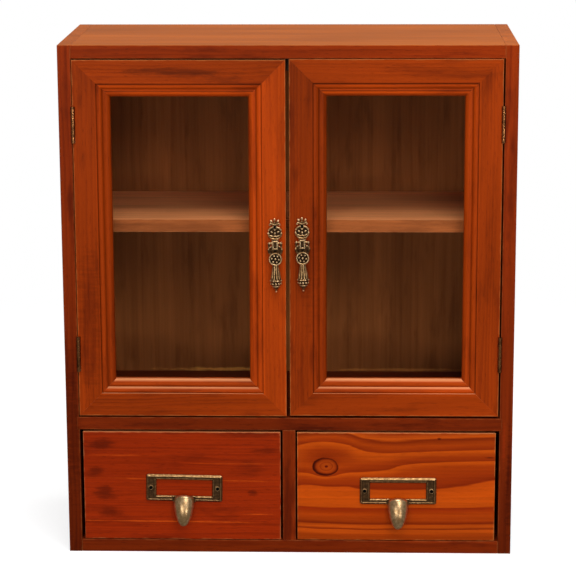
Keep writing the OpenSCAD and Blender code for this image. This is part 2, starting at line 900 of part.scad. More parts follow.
glass_beads(RIGHT);  // right_door_glass_beads
door_leaf(RIGHT, 1);  // right_upper_hinge_door_leaf
door_leaf(RIGHT, 0);  // right_lower_hinge_door_leaf
door_screws(RIGHT);  // right_door_screws
strike_plate(RIGHT);  // right_strike_plate
pull_backplate(RIGHT);  // right_pull_backplate
pull_nails(RIGHT);  // right_pull_nails
pull_pendant(RIGHT);  // right_pull_pendant
drawer_front(LEFT);  // left_drawer_front
drawer_side(LEFT, LEFT);  // left_drawer_outer_side
drawer_side(LEFT, RIGHT);  // left_drawer_inner_side
drawer_back(LEFT);  // left_drawer_back
drawer_bottom(LEFT);  // left_drawer_bottom
drawer_nails(LEFT);  // left_drawer_nails
label_pull(LEFT);  // left_label_pull
label_pins(LEFT);  // left_label_pins
drawer_front(RIGHT);  // right_drawer_front
drawer_side(RIGHT, LEFT);  // right_drawer_outer_side
drawer_side(RIGHT, RIGHT);  // right_drawer_inner_side
drawer_back(RIGHT);  // right_drawer_back
drawer_bottom(RIGHT);  // right_drawer_bottom
drawer_nails(RIGHT);  // right_drawer_nails
label_pull(RIGHT);  // right_label_pull
label_pins(RIGHT);  // right_label_pins
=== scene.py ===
import json
import math
import random

import bmesh
import bpy
import numpy as np
from mathutils import Euler, Matrix, Vector


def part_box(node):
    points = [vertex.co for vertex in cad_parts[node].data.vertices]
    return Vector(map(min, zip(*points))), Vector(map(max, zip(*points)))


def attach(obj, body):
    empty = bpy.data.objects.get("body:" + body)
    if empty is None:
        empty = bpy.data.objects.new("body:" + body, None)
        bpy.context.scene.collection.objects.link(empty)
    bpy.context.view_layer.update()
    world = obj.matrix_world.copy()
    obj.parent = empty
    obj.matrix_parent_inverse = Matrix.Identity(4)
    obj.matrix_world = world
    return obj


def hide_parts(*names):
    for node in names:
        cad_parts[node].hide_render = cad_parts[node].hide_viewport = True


# A tabletop cabinet of stained wood, with glazed doors over two drawers and antique brass pulls.
# The front faces -Y. Places come from the frame, in metres; sizes of fittings are in millimetres.
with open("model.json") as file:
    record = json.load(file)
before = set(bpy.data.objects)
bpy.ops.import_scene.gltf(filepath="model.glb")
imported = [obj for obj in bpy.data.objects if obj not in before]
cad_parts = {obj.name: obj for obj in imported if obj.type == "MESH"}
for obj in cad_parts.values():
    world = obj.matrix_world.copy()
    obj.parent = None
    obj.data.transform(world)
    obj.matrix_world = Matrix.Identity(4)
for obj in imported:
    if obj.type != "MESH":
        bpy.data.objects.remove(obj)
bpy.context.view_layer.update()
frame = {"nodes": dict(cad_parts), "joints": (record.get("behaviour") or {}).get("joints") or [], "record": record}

MM = 0.001
SIDES = ("left", "right")
BODY = {node: body for body, nodes in frame["record"]["behaviour"]["bodies"].items() for node in nodes}
FRONT_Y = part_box("left_side")[0].y


def srgb(red, green, blue):
    """A colour as it looks on a screen, 0 to 255, as linear light."""
    share = [value / 255 for value in (red, green, blue)]
    return tuple(s / 12.92 if s <= 0.04045 else ((s + 0.055) / 1.055) ** 2.4 for s in share)


# Camera and lamps. Each lamp has its place, what it aims at, its width and height, and its watts.
CAMERA_AT = (0.05756, -1.93218, 0.65419)
CAMERA_TURN = (77.220, 0.224, 1.739)
CAMERA_LENS = 141.4
SENSOR = 36.0
LAMPS = {
    "key": ((0.6, -1.7, 1.3), (0, 0, 0.22), (1.0, 0.7), 8),
    "front": ((-0.5, -1.9, 0.38), (0, 0, 0.22), (1.0, 0.4), 5),
    "low": ((0.75, -1.6, 0.14), (0, 0, 0.15), (0.16, 0.12), 2.2),
    "over": ((0.1, -0.75, 1.6), (0, 0, 0.3), (0.8, 0.3), 7),
    "top": ((0.15, -0.1, 1.7), (0, -0.05, 0.4), (1.0, 0.6), 8),
}


def new_object(name, data):
    made = bpy.data.objects.new(name, data)
    bpy.context.scene.collection.objects.link(made)
    return made


def new_mesh(name, bm):
    mesh = bpy.data.meshes.new(name)
    bm.to_mesh(mesh)
    bm.free()
    return mesh


def add_modifier(made, name, kind, **settings):
    modifier = made.modifiers.new(name, kind)
    for key, value in settings.items():
        setattr(modifier, key, value)


def add_camera():
    data = bpy.data.cameras.new("camera")
    data.lens = CAMERA_LENS
    data.sensor_width = SENSOR
    camera = new_object("camera", data)
    camera.location = CAMERA_AT
    camera.rotation_euler = Euler([math.radians(a) for a in CAMERA_TURN], "XYZ")
    bpy.context.scene.camera = camera


def add_lamp(name, at, aim, size, watts):
    data = bpy.data.lights.new(name, "AREA")
    data.shape = "RECTANGLE"
    data.size, data.size_y = size
    data.energy = watts
    lamp = new_object(name, data)
    lamp.location = at
    lamp.rotation_euler = (Vector(aim) - Vector(at)).to_track_quat("-Z", "Y").to_euler()


class Graph:
    """The nodes of one material or world, added call by call. Inputs are numbers or other nodes' outputs."""

    def __init__(self, owner):
        owner.use_nodes = True
        self.tree = owner.node_tree
        self.tree.nodes.clear()

    def node(self, kind, inputs=None, **settings):
        made = self.tree.nodes.new("ShaderNode" + kind)
        for key, value in settings.items():
            setattr(made, key, value)
        for key, value in (inputs or {}).items():
            if isinstance(value, bpy.types.NodeSocket):
                self.tree.links.new(value, made.inputs[key])
            else:
                made.inputs[key].default_value = value
        return made

    def math(self, operation, a, b=0.0, clamp=False):
        return self.node("Math", {0: a, 1: b}, operation=operation, use_clamp=clamp).outputs[0]

    def plus(self, a, b):
        return self.math("ADD", a, b)

    def minus(self, a, b, clamp=False):
        return self.math("SUBTRACT", a, b, clamp)

    def times(self, a, b):
        return self.math("MULTIPLY", a, b)

    def vector(self, operation, a, b):
        return self.node("VectorMath", {0: a, 1: b}, operation=operation).outputs[0]

    def scaled(self, vector, factor):
        return self.node("VectorMath", {0: vector, "Scale": factor}, operation="SCALE").outputs[0]

    def length(self, vector):
        return self.node("VectorMath", {0: vector}, operation="LENGTH").outputs[1]

    def parts(self, vector):
        return self.node("SeparateXYZ", {0: vector}).outputs

    def coordinate(self, kind="Object"):
        return self.node("TexCoord").outputs[kind]

    def ray(self, kind):
        return self.node("LightPath").outputs[kind]

    def attribute(self, name, output="Vector"):
        return self.node("Attribute", attribute_name=name).outputs[output]

    def noise(self, vector, detail=2.0, rough=0.5, scale=1.0):
        sockets = {"Vector": vector, "Scale": scale, "Detail": detail, "Roughness": rough}
        return self.node("TexNoise", sockets).outputs[0]

    def swing(self, value, amount):
        """How far a value lies from one half, times an amount."""
        return self.times(self.minus(value, 0.5), amount)

    def ramp(self, value, low, high, to_low=0.0, to_high=1.0, kind="SMOOTHSTEP"):
        sockets = {0: value, 1: low, 2: high, 3: to_low, 4: to_high}
        return self.node("MapRange", sockets, interpolation_type=kind).outputs[0]

    def mix(self, factor, a, b):
        """From colour a to colour b as the factor goes from 0 to 1."""
        made = self.node("Mix", data_type="RGBA")
        for index, value in ((0, factor), (6, a), (7, b)):
            if isinstance(value, bpy.types.NodeSocket):
                self.tree.links.new(value, made.inputs[index])
            else:
                made.inputs[index].default_value = (*value, 1) if index else value
        return made.outputs[2]

    def stops(self, value, colours):
        """A colour ramp from (place, colour) pairs."""
        made = self.node("ValToRGB", {0: value})
        elements = made.color_ramp.elements
        while len(elements) > 1:
            elements.remove(elements[-1])
        elements[0].position = colours[0][0]
        elements[0].color = (*colours[0][1], 1)
        for place, colour in colours[1:]:
            elements.new(place).color = (*colour, 1)
        return made.outputs[0]

    def curve(self, value, points):
        """A smooth line through (place, height) points that lie between 0 and 1."""
        made = self.node("FloatCurve", {"Value": value})
        line = made.mapping.curves[0]
        line.points[0].location = points[0]
        line.points[1].location = points[-1]
        for place, height in points[1:-1]:
            line.points.new(place, height)
        made.mapping.update()
        return made.outputs[0]

    def bump(self, height, distance):
        return self.node("Bump", {"Height": height, "Distance": distance}).outputs[0]

    def principled(self, **sockets):
        """Makes the surface a principled shader. Sockets are named with _ for a space."""
        named = {key.replace("_", " "): value for key, value in sockets.items()}
        self.surface(self.node("BsdfPrincipled", named))

    def surface(self, shader):
        self.node("OutputMaterial", {"Surface": shader.outputs[0]})


def material_graph(name):
    material = bpy.data.materials.new(name)
    return material, Graph(material)


def tinted(stops, span=1.0):
    """Stops of a colour ramp from (place, screen colour) pairs, with the places from 0 to a span."""
    return [(place / span, srgb(*tint)) for place, tint in stops]


# Wood. The attribute "grain" holds millimetres along the grain and across it, from the tree's heart. "low"
# and "high" hold the distances to the piece's two outer corners, "tone" how light the piece is, "fade" how
# much painted sheen of light from above its faces take that look up, and "member" the place on a door's frame
# for the painted highlights and shade of its moulding.
# A cell is the size of a noise along the grain and across it, in millimetres.
WANDER_CELL = (170, 40)
UNEVEN_LENGTH = 900
RING_FADE_CELL = (140, 14)
SMUDGE_CELL = (60, 13)
FLECK_CELL = (7, 0.8)
STREAK_CELL = (110, 2.4)
FIBRE_CELL = (16, 0.5)
CLOUD_CELL = (240, 34)
RING_RISE = (0.3, 0.88)
RING_FALL = (0.92, 1.0)
SHEEN_FULL = 0.9
FACES_FRONT = (-0.3, 0.1)
RAGGED_SCALE = (0.06, 0.06, 0.35)
RAGGED_SWING = 2.2
WEAR_PATCHES = 0.11


class Wood:
    """What one kind of wooden piece looks like."""
    pitch = 3.4
    ring_share = 0.5
    wander = 5.0
    smudge = 0.45
    fleck = 0.35
    streak = 1.0
    cloud = 0.8
    wear = 0.5
    wear_width = 0.8
    rough = 0.36
    gloss = 0.04
    bump = 0.12 * MM
    # Painted light: faces that look up are mixed toward a lighter colour, as sheen of light from above. top_light
    # makes slopes of the front lighter where they look up and darker where they look down.
    sheen_from = 0.25
    figure = None
    marks = ()
    moulding = None
    top_light = 0.0

    def __init__(self, early, late, dark, worn, top_sheen=None, **changes):
        self.early, self.late, self.dark, self.worn = [srgb(*tint) for tint in (early, late, dark, worn)]
        self.top_sheen = srgb(*(top_sheen or worn))
        for key, value in changes.items():
            setattr(self, key, value)


def middle_of(g, a, b, c):
    """The middle one of three values."""
    low = g.math("MINIMUM", a, b)
    high = g.math("MAXIMUM", a, b)
    return g.math("MAXIMUM", low, g.math("MINIMUM", high, c))


def arris_mask(g, look):
    """1 on the arrises of a board, where the stain is rubbed thin, and 0 on its faces."""
    near = g.vector("MINIMUM", g.attribute("low"), g.attribute("high"))
    edge = middle_of(g, *g.parts(near))
    patches = g.noise(g.attribute("low"), detail=3.0, scale=WEAR_PATCHES)
    width = g.ramp(patches, 0.35, 0.65, 0.3 * look.wear_width, 1.5 * look.wear_width)
    return g.minus(1.0, g.math("DIVIDE", edge, width), clamp=True)


def stretched(g, grain, cell):
    """Grain coordinates scaled so that one noise cell has that length and width."""
    length, width = cell
    return g.vector("MULTIPLY", grain, (1 / length, 1 / width, 1 / width))


def rings(g, grain, look):
    """The annual rings: 1 in the dark late wood and 0 in the early wood."""
    uneven_swing = 3.0 * look.pitch
    radius = g.length(g.vector("MULTIPLY", grain, (0, 1, 1)))
    wander = g.noise(stretched(g, grain, WANDER_CELL))
    uneven = g.noise(stretched(g, grain, (UNEVEN_LENGTH, uneven_swing)))
    radius = g.plus(radius, g.swing(wander, 2 * look.wander))
    radius = g.plus(radius, g.swing(uneven, uneven_swing))
    turn = g.math("FRACT", g.math("DIVIDE", radius, look.pitch))
    rise = g.ramp(turn, *RING_RISE)
    fall = g.ramp(turn, *RING_FALL, 1.0, 0.0)
    fade = g.ramp(g.noise(stretched(g, grain, RING_FADE_CELL)), 0.3, 0.7, 0.25, 1.0)
    return g.times(g.times(rise, fall), fade)


def stained(g, grain, late, look):
    """The colour of the stained grain, with darker smudges and flecks."""
    if look.figure:
        colour = look.figure(g)
    else:
        colour = g.mix(g.times(late, look.ring_share), look.early, look.late)
    smudge = g.ramp(g.noise(stretched(g, grain, SMUDGE_CELL), detail=3.0, rough=0.6), 0.5, 0.72)
    colour = g.mix(g.times(smudge, look.smudge), colour, look.dark)
    flecks = g.ramp(g.noise(stretched(g, grain, FLECK_CELL), detail=1.0), 0.6, 0.74)
    return g.mix(g.times(flecks, look.fleck), colour, look.dark)


def marked(g, colour, marks):
    """The colour with soft spots and streaks over it. A mark has its place across and up as seen from the
    front, half its width and half its height in millimetres, its slope, its strength and its colour."""
    place = g.scaled(g.coordinate(), 1 / MM)
    ragged = g.noise(g.vector("MULTIPLY", place, RAGGED_SCALE), detail=5.0, rough=0.65)
    ragged = g.swing(ragged, RAGGED_SWING)
    for across, up, half_across, half_up, slope, strength, tint in marks:
        centre = (across, 0, up)
        turned = g.node("VectorRotate", {
            "Vector": place, "Center": centre, "Angle": math.atan(slope)}, rotation_type="Y_AXIS").outputs[0]
        shape = g.vector("MULTIPLY", g.vector("SUBTRACT", turned, centre), (1 / half_across, 0, 1 / half_up))
        away = g.plus(g.length(shape), ragged)
        colour = g.mix(g.ramp(away, 0.1, 1.0, strength, 0.0), colour, srgb(*tint))
    return colour


def lightness(g, grain, fibre, look):
    """How light the piece is, with its streaks, fibres and clouds."""
    light = g.attribute("tone", "Fac")
    streak = g.noise(stretched(g, grain, STREAK_CELL), detail=3.0)
    cloud = g.noise(stretched(g, grain, CLOUD_CELL), detail=2.0)
    for noise, amount in ((streak, look.streak), (fibre, 0.3 * look.streak), (cloud, look.cloud)):
        light = g.times(light, g.plus(g.swing(noise, amount), 1.0))
    return light


def painted_front_light(g, up, in_front, look):
    """Painted light on the front: lighter where it slopes up and darker where it slopes down, as light from above,
    with painted highlights on a moulding's crests and painted shade in its grooves.
    """
    light = g.plus(g.times(g.times(up, in_front), look.top_light), 1.0)
    if look.moulding:
        share = g.math("DIVIDE", g.attribute("member", "Fac"), MOULDING_SPAN)
        stops = [(place / MOULDING_SPAN, (level, level, level)) for place, level in look.moulding]
        level = g.times(g.parts(g.stops(share, stops))[0], MOULDING_PEAK)
        level = g.times(g.minus(level, 1.0), in_front)
        light = g.times(light, g.plus(level, 1.0))
    return light


def wood(name, look):
    material, g = material_graph(name)
    grain = g.attribute("grain")
    late = rings(g, grain, look)
    fibre = g.noise(stretched(g, grain, FIBRE_CELL), detail=2.0)
    _, back, up = g.parts(g.coordinate("Normal"))
    in_front = g.ramp(back, *FACES_FRONT, 1.0, 0.0)
    colour = stained(g, grain, late, look)
    colour = g.mix(in_front, colour, marked(g, colour, look.marks))
    # Painted sheen: faces that look up are mixed toward a lighter colour, as light from above falls on them.
    top_sheen = g.times(g.ramp(up, look.sheen_from, SHEEN_FULL), g.attribute("fade", "Fac"))
    colour = g.mix(top_sheen, colour, look.top_sheen)
    light = g.times(lightness(g, grain, fibre, look), painted_front_light(g, up, in_front, look))
    colour = g.scaled(colour, light)
    colour = g.mix(g.times(arris_mask(g, look), look.wear), colour, look.worn)
    rough = g.plus(g.times(fibre, 0.14), look.rough - 0.07)
    height = g.plus(g.times(fibre, 0.6), g.times(late, 0.4))
    g.principled(Base_Color=colour, Roughness=rough, Specular_IOR_Level=look.gloss,
                 Normal=g.bump(height, look.bump))
    return material


# Painted light across a door member's moulding, as shares of the peak: painted highlights on crests, painted shade
# in grooves.
# The places are millimetres from the door's outer edge, and TOP_RAIL_FROM more on the top rail.
TOP_RAIL_FROM = 40.0
MOULDING_SPAN = 80.0
MOULDING_PEAK = 2.0
MOULDING_LIGHT_AND_SHADE = (
    (0, 0.5), (17.8, 0.5), (18.6, 0.6), (19.3, 0.56), (19.6, 0.3), (20.0, 0.36), (20.6, 0.6),
    (23.2, 0.58), (24.3, 0.38), (24.9, 0.4), (25.6, 0.54), (27.4, 0.6), (28.2, 0.52), (31.0, 0.44),
    (31.3, 0.3), (39.9, 0.3), (40.0, 0.5), (59.3, 0.48), (59.9, 0.24), (60.6, 0.3), (61.3, 0.8),
    (62.2, 0.92), (63.4, 0.74), (65.3, 0.66), (66.0, 0.36), (66.7, 0.36), (67.3, 0.9), (68.2, 0.86),
    (69.0, 0.74), (71.1, 0.7), (71.3, 0.3))


# The right drawer's front: a knot, and four lines of grain that bend round it. Millimetres across and up
# from the front's lower left corner.
RIGHT_FRONT = (6.9, 0, 11.5)
FRONT_SPAN = 170.0
RISE_SPAN = 24.0
KNOT_AT = (24.1, 0, 65.6)
KNOT_R = 8.0
KNOT_STRETCH = 1.38
KNOT_EYE = (0.07, 0, 0.05)
KNOT_EDGE = (0.97, 1.06)
KNOT_WOBBLE = 0.16
BAND_SWING = 3.0
BAND_SCALE = (0.02, 0, 0.35)
GRAIN_LINES = (
    (30.5, ((0, 1.6), (31, 0.2), (76, -0.7), (170, -0.1))),
    (48.5, ((0, 1.9), (11, 4.4), (26, 3.6), (43, 1.9), (52, -0.5), (76, -2.3), (110, -2.6), (138, 0.1),
            (170, 5.8))),
    (66.0, ((0, -8), (36, -8), (48, -6.5), (65, -5.1), (78, -3), (90, 1.4), (99, 3.2), (121, 5.5),
            (170, 7))),
    (80.0, ((0, 3), (31, 5), (60, -1.4), (76, -2.6), (110, -0.8), (170, 2.1))),
)
BAND_SPAN = 110.0
BANDS = (
    (0, (150, 55, 6)), (6, (160, 58, 6)), (8, (190, 75, 10)), (10.4, (184, 72, 10)), (11, (120, 32, 4)),
    (12.8, (190, 76, 10)), (15, (176, 68, 8)), (16, (124, 34, 4)), (18.5, (160, 56, 6)),
    (24, (172, 62, 6)), (29, (152, 44, 4)), (30.3, (144, 40, 4)), (31, (190, 74, 8)), (40, (200, 78, 8)),
    (47.8, (190, 72, 8)), (48.8, (130, 36, 4)), (52, (148, 46, 5)), (60, (168, 58, 6)),
    (64, (190, 74, 8)), (65.8, (194, 76, 8)), (66.6, (140, 42, 4)), (72, (160, 54, 6)),
    (79.4, (204, 82, 10)), (80.3, (144, 44, 5)), (85, (172, 62, 7)), (90, (128, 38, 4)),
    (91.6, (198, 80, 12)), (97, (150, 50, 8)), (102, (186, 70, 8)), (106, (130, 38, 4)))
KNOT_RINGS = (
    (0, (92, 14, 6)), (0.1, (104, 20, 6)), (0.17, (172, 66, 10)), (0.42, (162, 60, 8)),
    (0.48, (140, 44, 6)), (0.56, (170, 64, 10)), (0.74, (152, 52, 6)), (0.84, (116, 32, 4)),
    (0.93, (72, 16, 3)), (1.0, (66, 14, 3)))


def grain_rise(g, across, up):
    """How far the grain has risen from level, between the lines of grain below and above."""
    share = g.math("DIVIDE", across, FRONT_SPAN)
    rise, below = None, 0.0
    for height, points in GRAIN_LINES:
        line = g.curve(share, [(u / FRONT_SPAN, 0.5 + r / RISE_SPAN) for u, r in points])
        line = g.swing(line, RISE_SPAN)
        if rise:
            weight = g.ramp(up, below, height, kind="LINEAR")
            line = g.plus(rise, g.times(weight, g.minus(line, rise)))
        rise, below = line, height
    return rise


def knotty_front(g):
    """The colour of the right drawer's front."""
    place = g.scaled(g.coordinate(), 1 / MM)
    place = g.vector("SUBTRACT", place, RIGHT_FRONT)
    across, _, up = g.parts(place)
    band = g.minus(up, grain_rise(g, across, up))
    from_knot = g.vector("SUBTRACT", place, KNOT_AT)
    from_knot = g.vector("MULTIPLY", from_knot, (1 / KNOT_STRETCH / KNOT_R, 0, 1 / KNOT_R))
    away = g.length(from_knot)
    bend = g.times(g.parts(from_knot)[2], KNOT_R)
    band = g.minus(band, g.math("DIVIDE", bend, g.times(away, away)))
    uneven = g.noise(g.vector("MULTIPLY", place, BAND_SCALE), detail=3.0)
    band = g.plus(band, g.swing(uneven, BAND_SWING))
    colour = g.stops(g.math("DIVIDE", band, BAND_SPAN), tinted(BANDS, BAND_SPAN))
    wobble = g.swing(g.noise(place, scale=0.16), KNOT_WOBBLE)
    eye = g.length(g.vector("SUBTRACT", from_knot, KNOT_EYE))
    knot = g.stops(g.plus(eye, wobble), tinted(KNOT_RINGS))
    inside = g.ramp(g.plus(away, wobble), *KNOT_EDGE, 1.0, 0.0)
    return g.mix(inside, colour, knot)


# Metal, plastic and glass
# The first two shares paint brass lighter where it looks up and where it looks aside, as light falling on it; the
# clouds make the rubbing uneven.
PAINTED_TOP_LIGHT = 0.05
PAINTED_SIDE_LIGHT = 0.08
RUBBED_CLOUDS = 0.4
BRASS_STOPS = (
    (0.15, (18, 11, 6)), (0.4, (48, 32, 19)), (0.56, (98, 68, 40)), (0.66, (140, 104, 64)),
    (0.78, (192, 150, 100)), (0.92, (240, 202, 152)))
PANE_TINT = (0.97, 0.99, 0.98, 1)
PASSING_LIGHT = (0.93, 0.95, 0.94, 1)
PANE_IOR = 1.12


def antique_brass():
    """Cast brass, darkened and then rubbed bright, and painted lighter where it looks up or aside, as light
    falling on it. "proud" is 1 on what stands out, and 0 in recesses.
    """
    material, g = material_graph("antique_brass")
    place = g.coordinate()
    normal = g.coordinate("Normal")
    cloud = g.noise(place, detail=4.0, rough=0.6, scale=420.0)
    rubbed_and_lit = g.plus(g.attribute("proud", "Fac"), g.swing(cloud, RUBBED_CLOUDS))
    # Painted light: what looks up or aside is made lighter.
    rubbed_and_lit = g.plus(rubbed_and_lit, g.times(g.parts(normal)[2], PAINTED_TOP_LIGHT))
    aside = g.length(g.vector("MULTIPLY", normal, (1, 0, 1)))
    rubbed_and_lit = g.plus(rubbed_and_lit, g.times(aside, PAINTED_SIDE_LIGHT))
    colour = g.stops(rubbed_and_lit, tinted(BRASS_STOPS))
    pits = g.noise(place, detail=3.0, scale=1500.0)
    g.principled(Base_Color=colour, Metallic=0.9, Roughness=g.ramp(rubbed_and_lit, 0.3, 0.85, 0.6, 0.3),
                 Normal=g.bump(pits, 0.04 * MM))
    return material


def plain_metal(name, colour, dull, rough):
    """Plated metal with faint brushing and dull clouds."""
    material, g = material_graph(name)
    place = g.coordinate()
    cloud = g.noise(place, detail=4.0, scale=180.0)
    brushed = g.noise(g.vector("MULTIPLY", place, (2500, 2500, 160)), detail=2.0)
    tint = g.mix(g.ramp(cloud, 0.4, 0.7), srgb(*colour), srgb(*dull))
    roughness = g.ramp(cloud, 0.3, 0.7, rough - 0.06, rough + 0.1)
    g.principled(Base_Color=tint, Metallic=1.0, Roughness=roughness, Normal=g.bump(brushed, 0.01 * MM))
    return material


def moulded_plastic():
    material, g = material_graph("plastic")
    place = g.coordinate()
    grit = g.noise(place, detail=3.0, scale=1800.0)
    cloud = g.noise(place, detail=2.0, scale=90.0)
    tint = g.mix(cloud, srgb(78, 52, 34), srgb(96, 66, 44))
    g.principled(Base_Color=tint, Roughness=g.ramp(grit, 0.3, 0.7, 0.42, 0.58), Specular_IOR_Level=0.35,
                 Normal=g.bump(grit, 0.03 * MM))
    return material


def clear_glass():
    """Window glass that lets the lamps through to what it shuts in."""
    material, g = material_graph("glass")
    pane = g.node("BsdfPrincipled", {
        "Base Color": PANE_TINT, "Transmission Weight": 1.0, "IOR": PANE_IOR, "Roughness": 0.0})
    open_way = g.node("BsdfTransparent", {"Color": PASSING_LIGHT})
    lit = g.math("MAXIMUM", g.ray("Is Shadow Ray"), g.ray("Is Diffuse Ray"))
    g.surface(g.node("MixShader", {0: lit, 1: pane.outputs[0], 2: open_way.outputs[0]}))
    return material


# World and floor. Directions are parts of a unit vector: the room is in front, and the sweep is behind.
AMBIENT_LOW = 0.12
AMBIENT_HIGH = 0.52
SKY_TURN = (-0.4, 0.6)
SWEEP_TURN = (-0.25, 0.45)
ROOM_IN_GLOSS = 0.14
SWEEP_IN_GLOSS = 0.3
FLOOR_IN_GLOSS = 0.15
FLOOR_RADIUS = 1.0
FLOOR_RIM = (0.5, 0.95)
FLOOR_SIDES = 96
FLOOR_WHITE = 0.5
FLOOR_LIFT = 0.7
WHITE = (1, 1, 1, 1)


def seen_directly(g):
    """1 for rays from the camera, also by way of gloss and glass, and 0 for light that falls on things."""
    seen = g.math("MAXIMUM", g.ray("Is Camera Ray"), g.ray("Is Glossy Ray"))
    return g.math("MAXIMUM", seen, g.ray("Is Transmission Ray"))


def seen_through_glass(g):
    """1 for rays that come from the camera straight through glass."""
    return g.times(g.ray("Is Transmission Ray"), g.math("LESS_THAN", g.ray("Glossy Depth"), 0.5))


def add_world():
    """Even studio light. The sweep behind the cabinet is white; the room in front of it is dim."""
    world = bpy.data.worlds.new("studio")
    bpy.context.scene.world = world
    g = Graph(world)
    _, back, up = g.parts(g.coordinate("Generated"))
    sweep = g.ramp(back, *SWEEP_TURN, ROOM_IN_GLOSS, SWEEP_IN_GLOSS)
    straight = g.math("MAXIMUM", g.ray("Is Camera Ray"), seen_through_glass(g))
    level = g.plus(g.times(g.ray("Is Glossy Ray"), sweep), straight)
    sky = g.ramp(up, *SKY_TURN, AMBIENT_LOW, AMBIENT_HIGH)
    fill = g.times(g.minus(1.0, seen_directly(g)), sky)
    light = g.node("Background", {"Color": WHITE, "Strength": g.plus(level, fill)})
    g.node("OutputWorld", {"Surface": light.outputs[0]})


def floor_material():
    """Pale paper that runs out into pure white at its rim."""
    material, g = material_graph("floor")
    rim = g.ramp(g.length(g.coordinate()), *FLOOR_RIM)
    seen = seen_directly(g)
    paper = g.node("BsdfDiffuse", {"Color": (FLOOR_WHITE, FLOOR_WHITE, FLOOR_WHITE, 1)})
    lift = g.node("Emission", {"Color": WHITE, "Strength": g.times(seen, FLOOR_LIFT)})
    near = g.node("AddShader", {0: paper.outputs[0], 1: lift.outputs[0]})
    white = g.node("Emission", {"Color": WHITE, "Strength": seen})
    shown = g.node("MixShader", {0: rim, 1: near.outputs[0], 2: white.outputs[0]})
    mirrored = g.node("Emission", {"Color": WHITE, "Strength": FLOOR_IN_GLOSS})
    glossy = g.minus(g.ray("Is Glossy Ray"), seen_through_glass(g), clamp=True)
    g.surface(g.node("MixShader", {0: glossy, 1: shown.outputs[0], 2: mirrored.outputs[0]}))
    return material


def add_floor():
    """A round pale floor that keeps the cabinet's shadow."""
    bm = bmesh.new()
    bmesh.ops.create_circle(bm, cap_ends=True, segments=FLOOR_SIDES, radius=FLOOR_RADIUS)
    mesh = new_mesh("floor", bm)
    mesh.materials.append(floor_material())
    new_object("floor", mesh)


bpy.context.scene.view_settings.view_transform = "Standard"
add_camera()
add_world()
add_floor()
for name, lamp in LAMPS.items():
    add_lamp(name, *lamp)

DARK_RED = (78, 18, 4)
BRIGHT_LINE = (200, 76, 14)
# Each wood's colour for faces that look up is a painted sheen of light from above.
WOODS = {
    "case_wood": Wood(
        (150, 50, 8), (112, 30, 5), (84, 20, 4), (205, 120, 62), top_sheen=(176, 90, 20), smudge=0.6,
        streak=0.6, wear=0.22, marks=(
            (-184, 110, 9, 80, 0, 0.5, DARK_RED), (-178, 300, 3, 90, 0, 0.35, DARK_RED),
            (188, 60, 4, 60, 0, 0.6, DARK_RED), (183, 96, 2, 30, 0, 0.5, (190, 60, 12)),
            (-120, 114, 40, 4, 0.01, 0.4, DARK_RED), (100, 114, 50, 3, -0.01, 0.4, DARK_RED))),
    "door_wood": Wood(
        (172, 62, 8), (140, 44, 6), (100, 28, 5), (212, 128, 66), top_sheen=(244, 158, 104), sheen_from=0.4,
        top_light=0.35, streak=0.5, moulding=MOULDING_LIGHT_AND_SHADE, marks=(
            (-89, 415.5, 66, 5, -0.02, 0.6, (88, 32, 10)), (-55, 410, 30, 4, -0.1, 0.4, (100, 36, 10)),
            (-168, 210, 12, 90, 0, 0.35, (96, 26, 6)), (-45, 112, 44, 5, 0.04, 0.4, (196, 70, 14)),
            (-150, 118, 34, 7, 0, 0.35, (96, 26, 6)), (20, 250, 10, 70, 0, 0.35, (104, 30, 8)),
            (150, 414, 40, 5, 0.02, 0.3, (110, 36, 8)), (60, 120, 40, 6, -0.03, 0.35, (104, 34, 10)))),
    "left_drawer_wood": Wood(
        (152, 42, 5), (128, 32, 5), (92, 22, 5), (226, 142, 84), top_sheen=(236, 146, 92), pitch=2.6,
        streak=0.7, cloud=0.5, marks=(
            (-142, 86.5, 44, 0.9, 0, 0.45, BRIGHT_LINE), (-46, 79.5, 48, 0.8, 0, 0.4, BRIGHT_LINE),
            (-92, 65, 100, 0.9, -0.018, 0.75, BRIGHT_LINE), (-92, 27.3, 100, 1.1, -0.009, 0.8, BRIGHT_LINE),
            (-26, 34, 18, 0.8, 0, 0.7, BRIGHT_LINE), (-160, 96.5, 16, 6, 0, 0.6, DARK_RED),
            (-167, 71.5, 10, 7, 0, 0.6, DARK_RED), (-158, 53, 13, 9, 0, 0.65, DARK_RED),
            (-152, 35, 16, 6, 0, 0.6, DARK_RED), (-31, 53.5, 6, 3, 0, 0.6, DARK_RED),
            (-20, 91, 18, 5, 0, 0.5, DARK_RED), (-34, 106, 46, 4, 0, 0.45, DARK_RED))),
    "right_drawer_wood": Wood(
        (196, 78, 10), (140, 44, 6), (120, 34, 6), (232, 150, 80), top_sheen=(236, 146, 92), smudge=0.15,
        fleck=0.2, streak=0.5, cloud=0.3, figure=knotty_front, marks=(
            (128, 102.5, 2.2, 1.6, 0, 0.8, DARK_RED), (171, 86, 5, 0.9, 0, 0.8, DARK_RED))),
    "inner_wood": Wood(
        (184, 98, 50), (152, 78, 38), (120, 58, 28), (206, 130, 80), top_sheen=(242, 150, 94), rough=0.55,
        streak=0.6),
    # The back panel's two bright marks low down, where it meets the floor, are painted light shining through that
    # joint.
    "back_wood": Wood(
        (142, 80, 38), (120, 64, 28), (92, 46, 18), (120, 72, 42), rough=0.6, wear=0.1, pitch=9.0,
        streak=0.5, fleck=0.1, marks=(
            (-68, 122, 66, 2.2, 0, 1.0, (214, 144, 66)), (100, 122, 70, 1.8, 0, 0.7, (196, 124, 58)))),
    "drawer_box_wood": Wood(
        (186, 128, 78), (160, 102, 58), (136, 82, 46), (206, 152, 100), rough=0.6, streak=0.6),
}
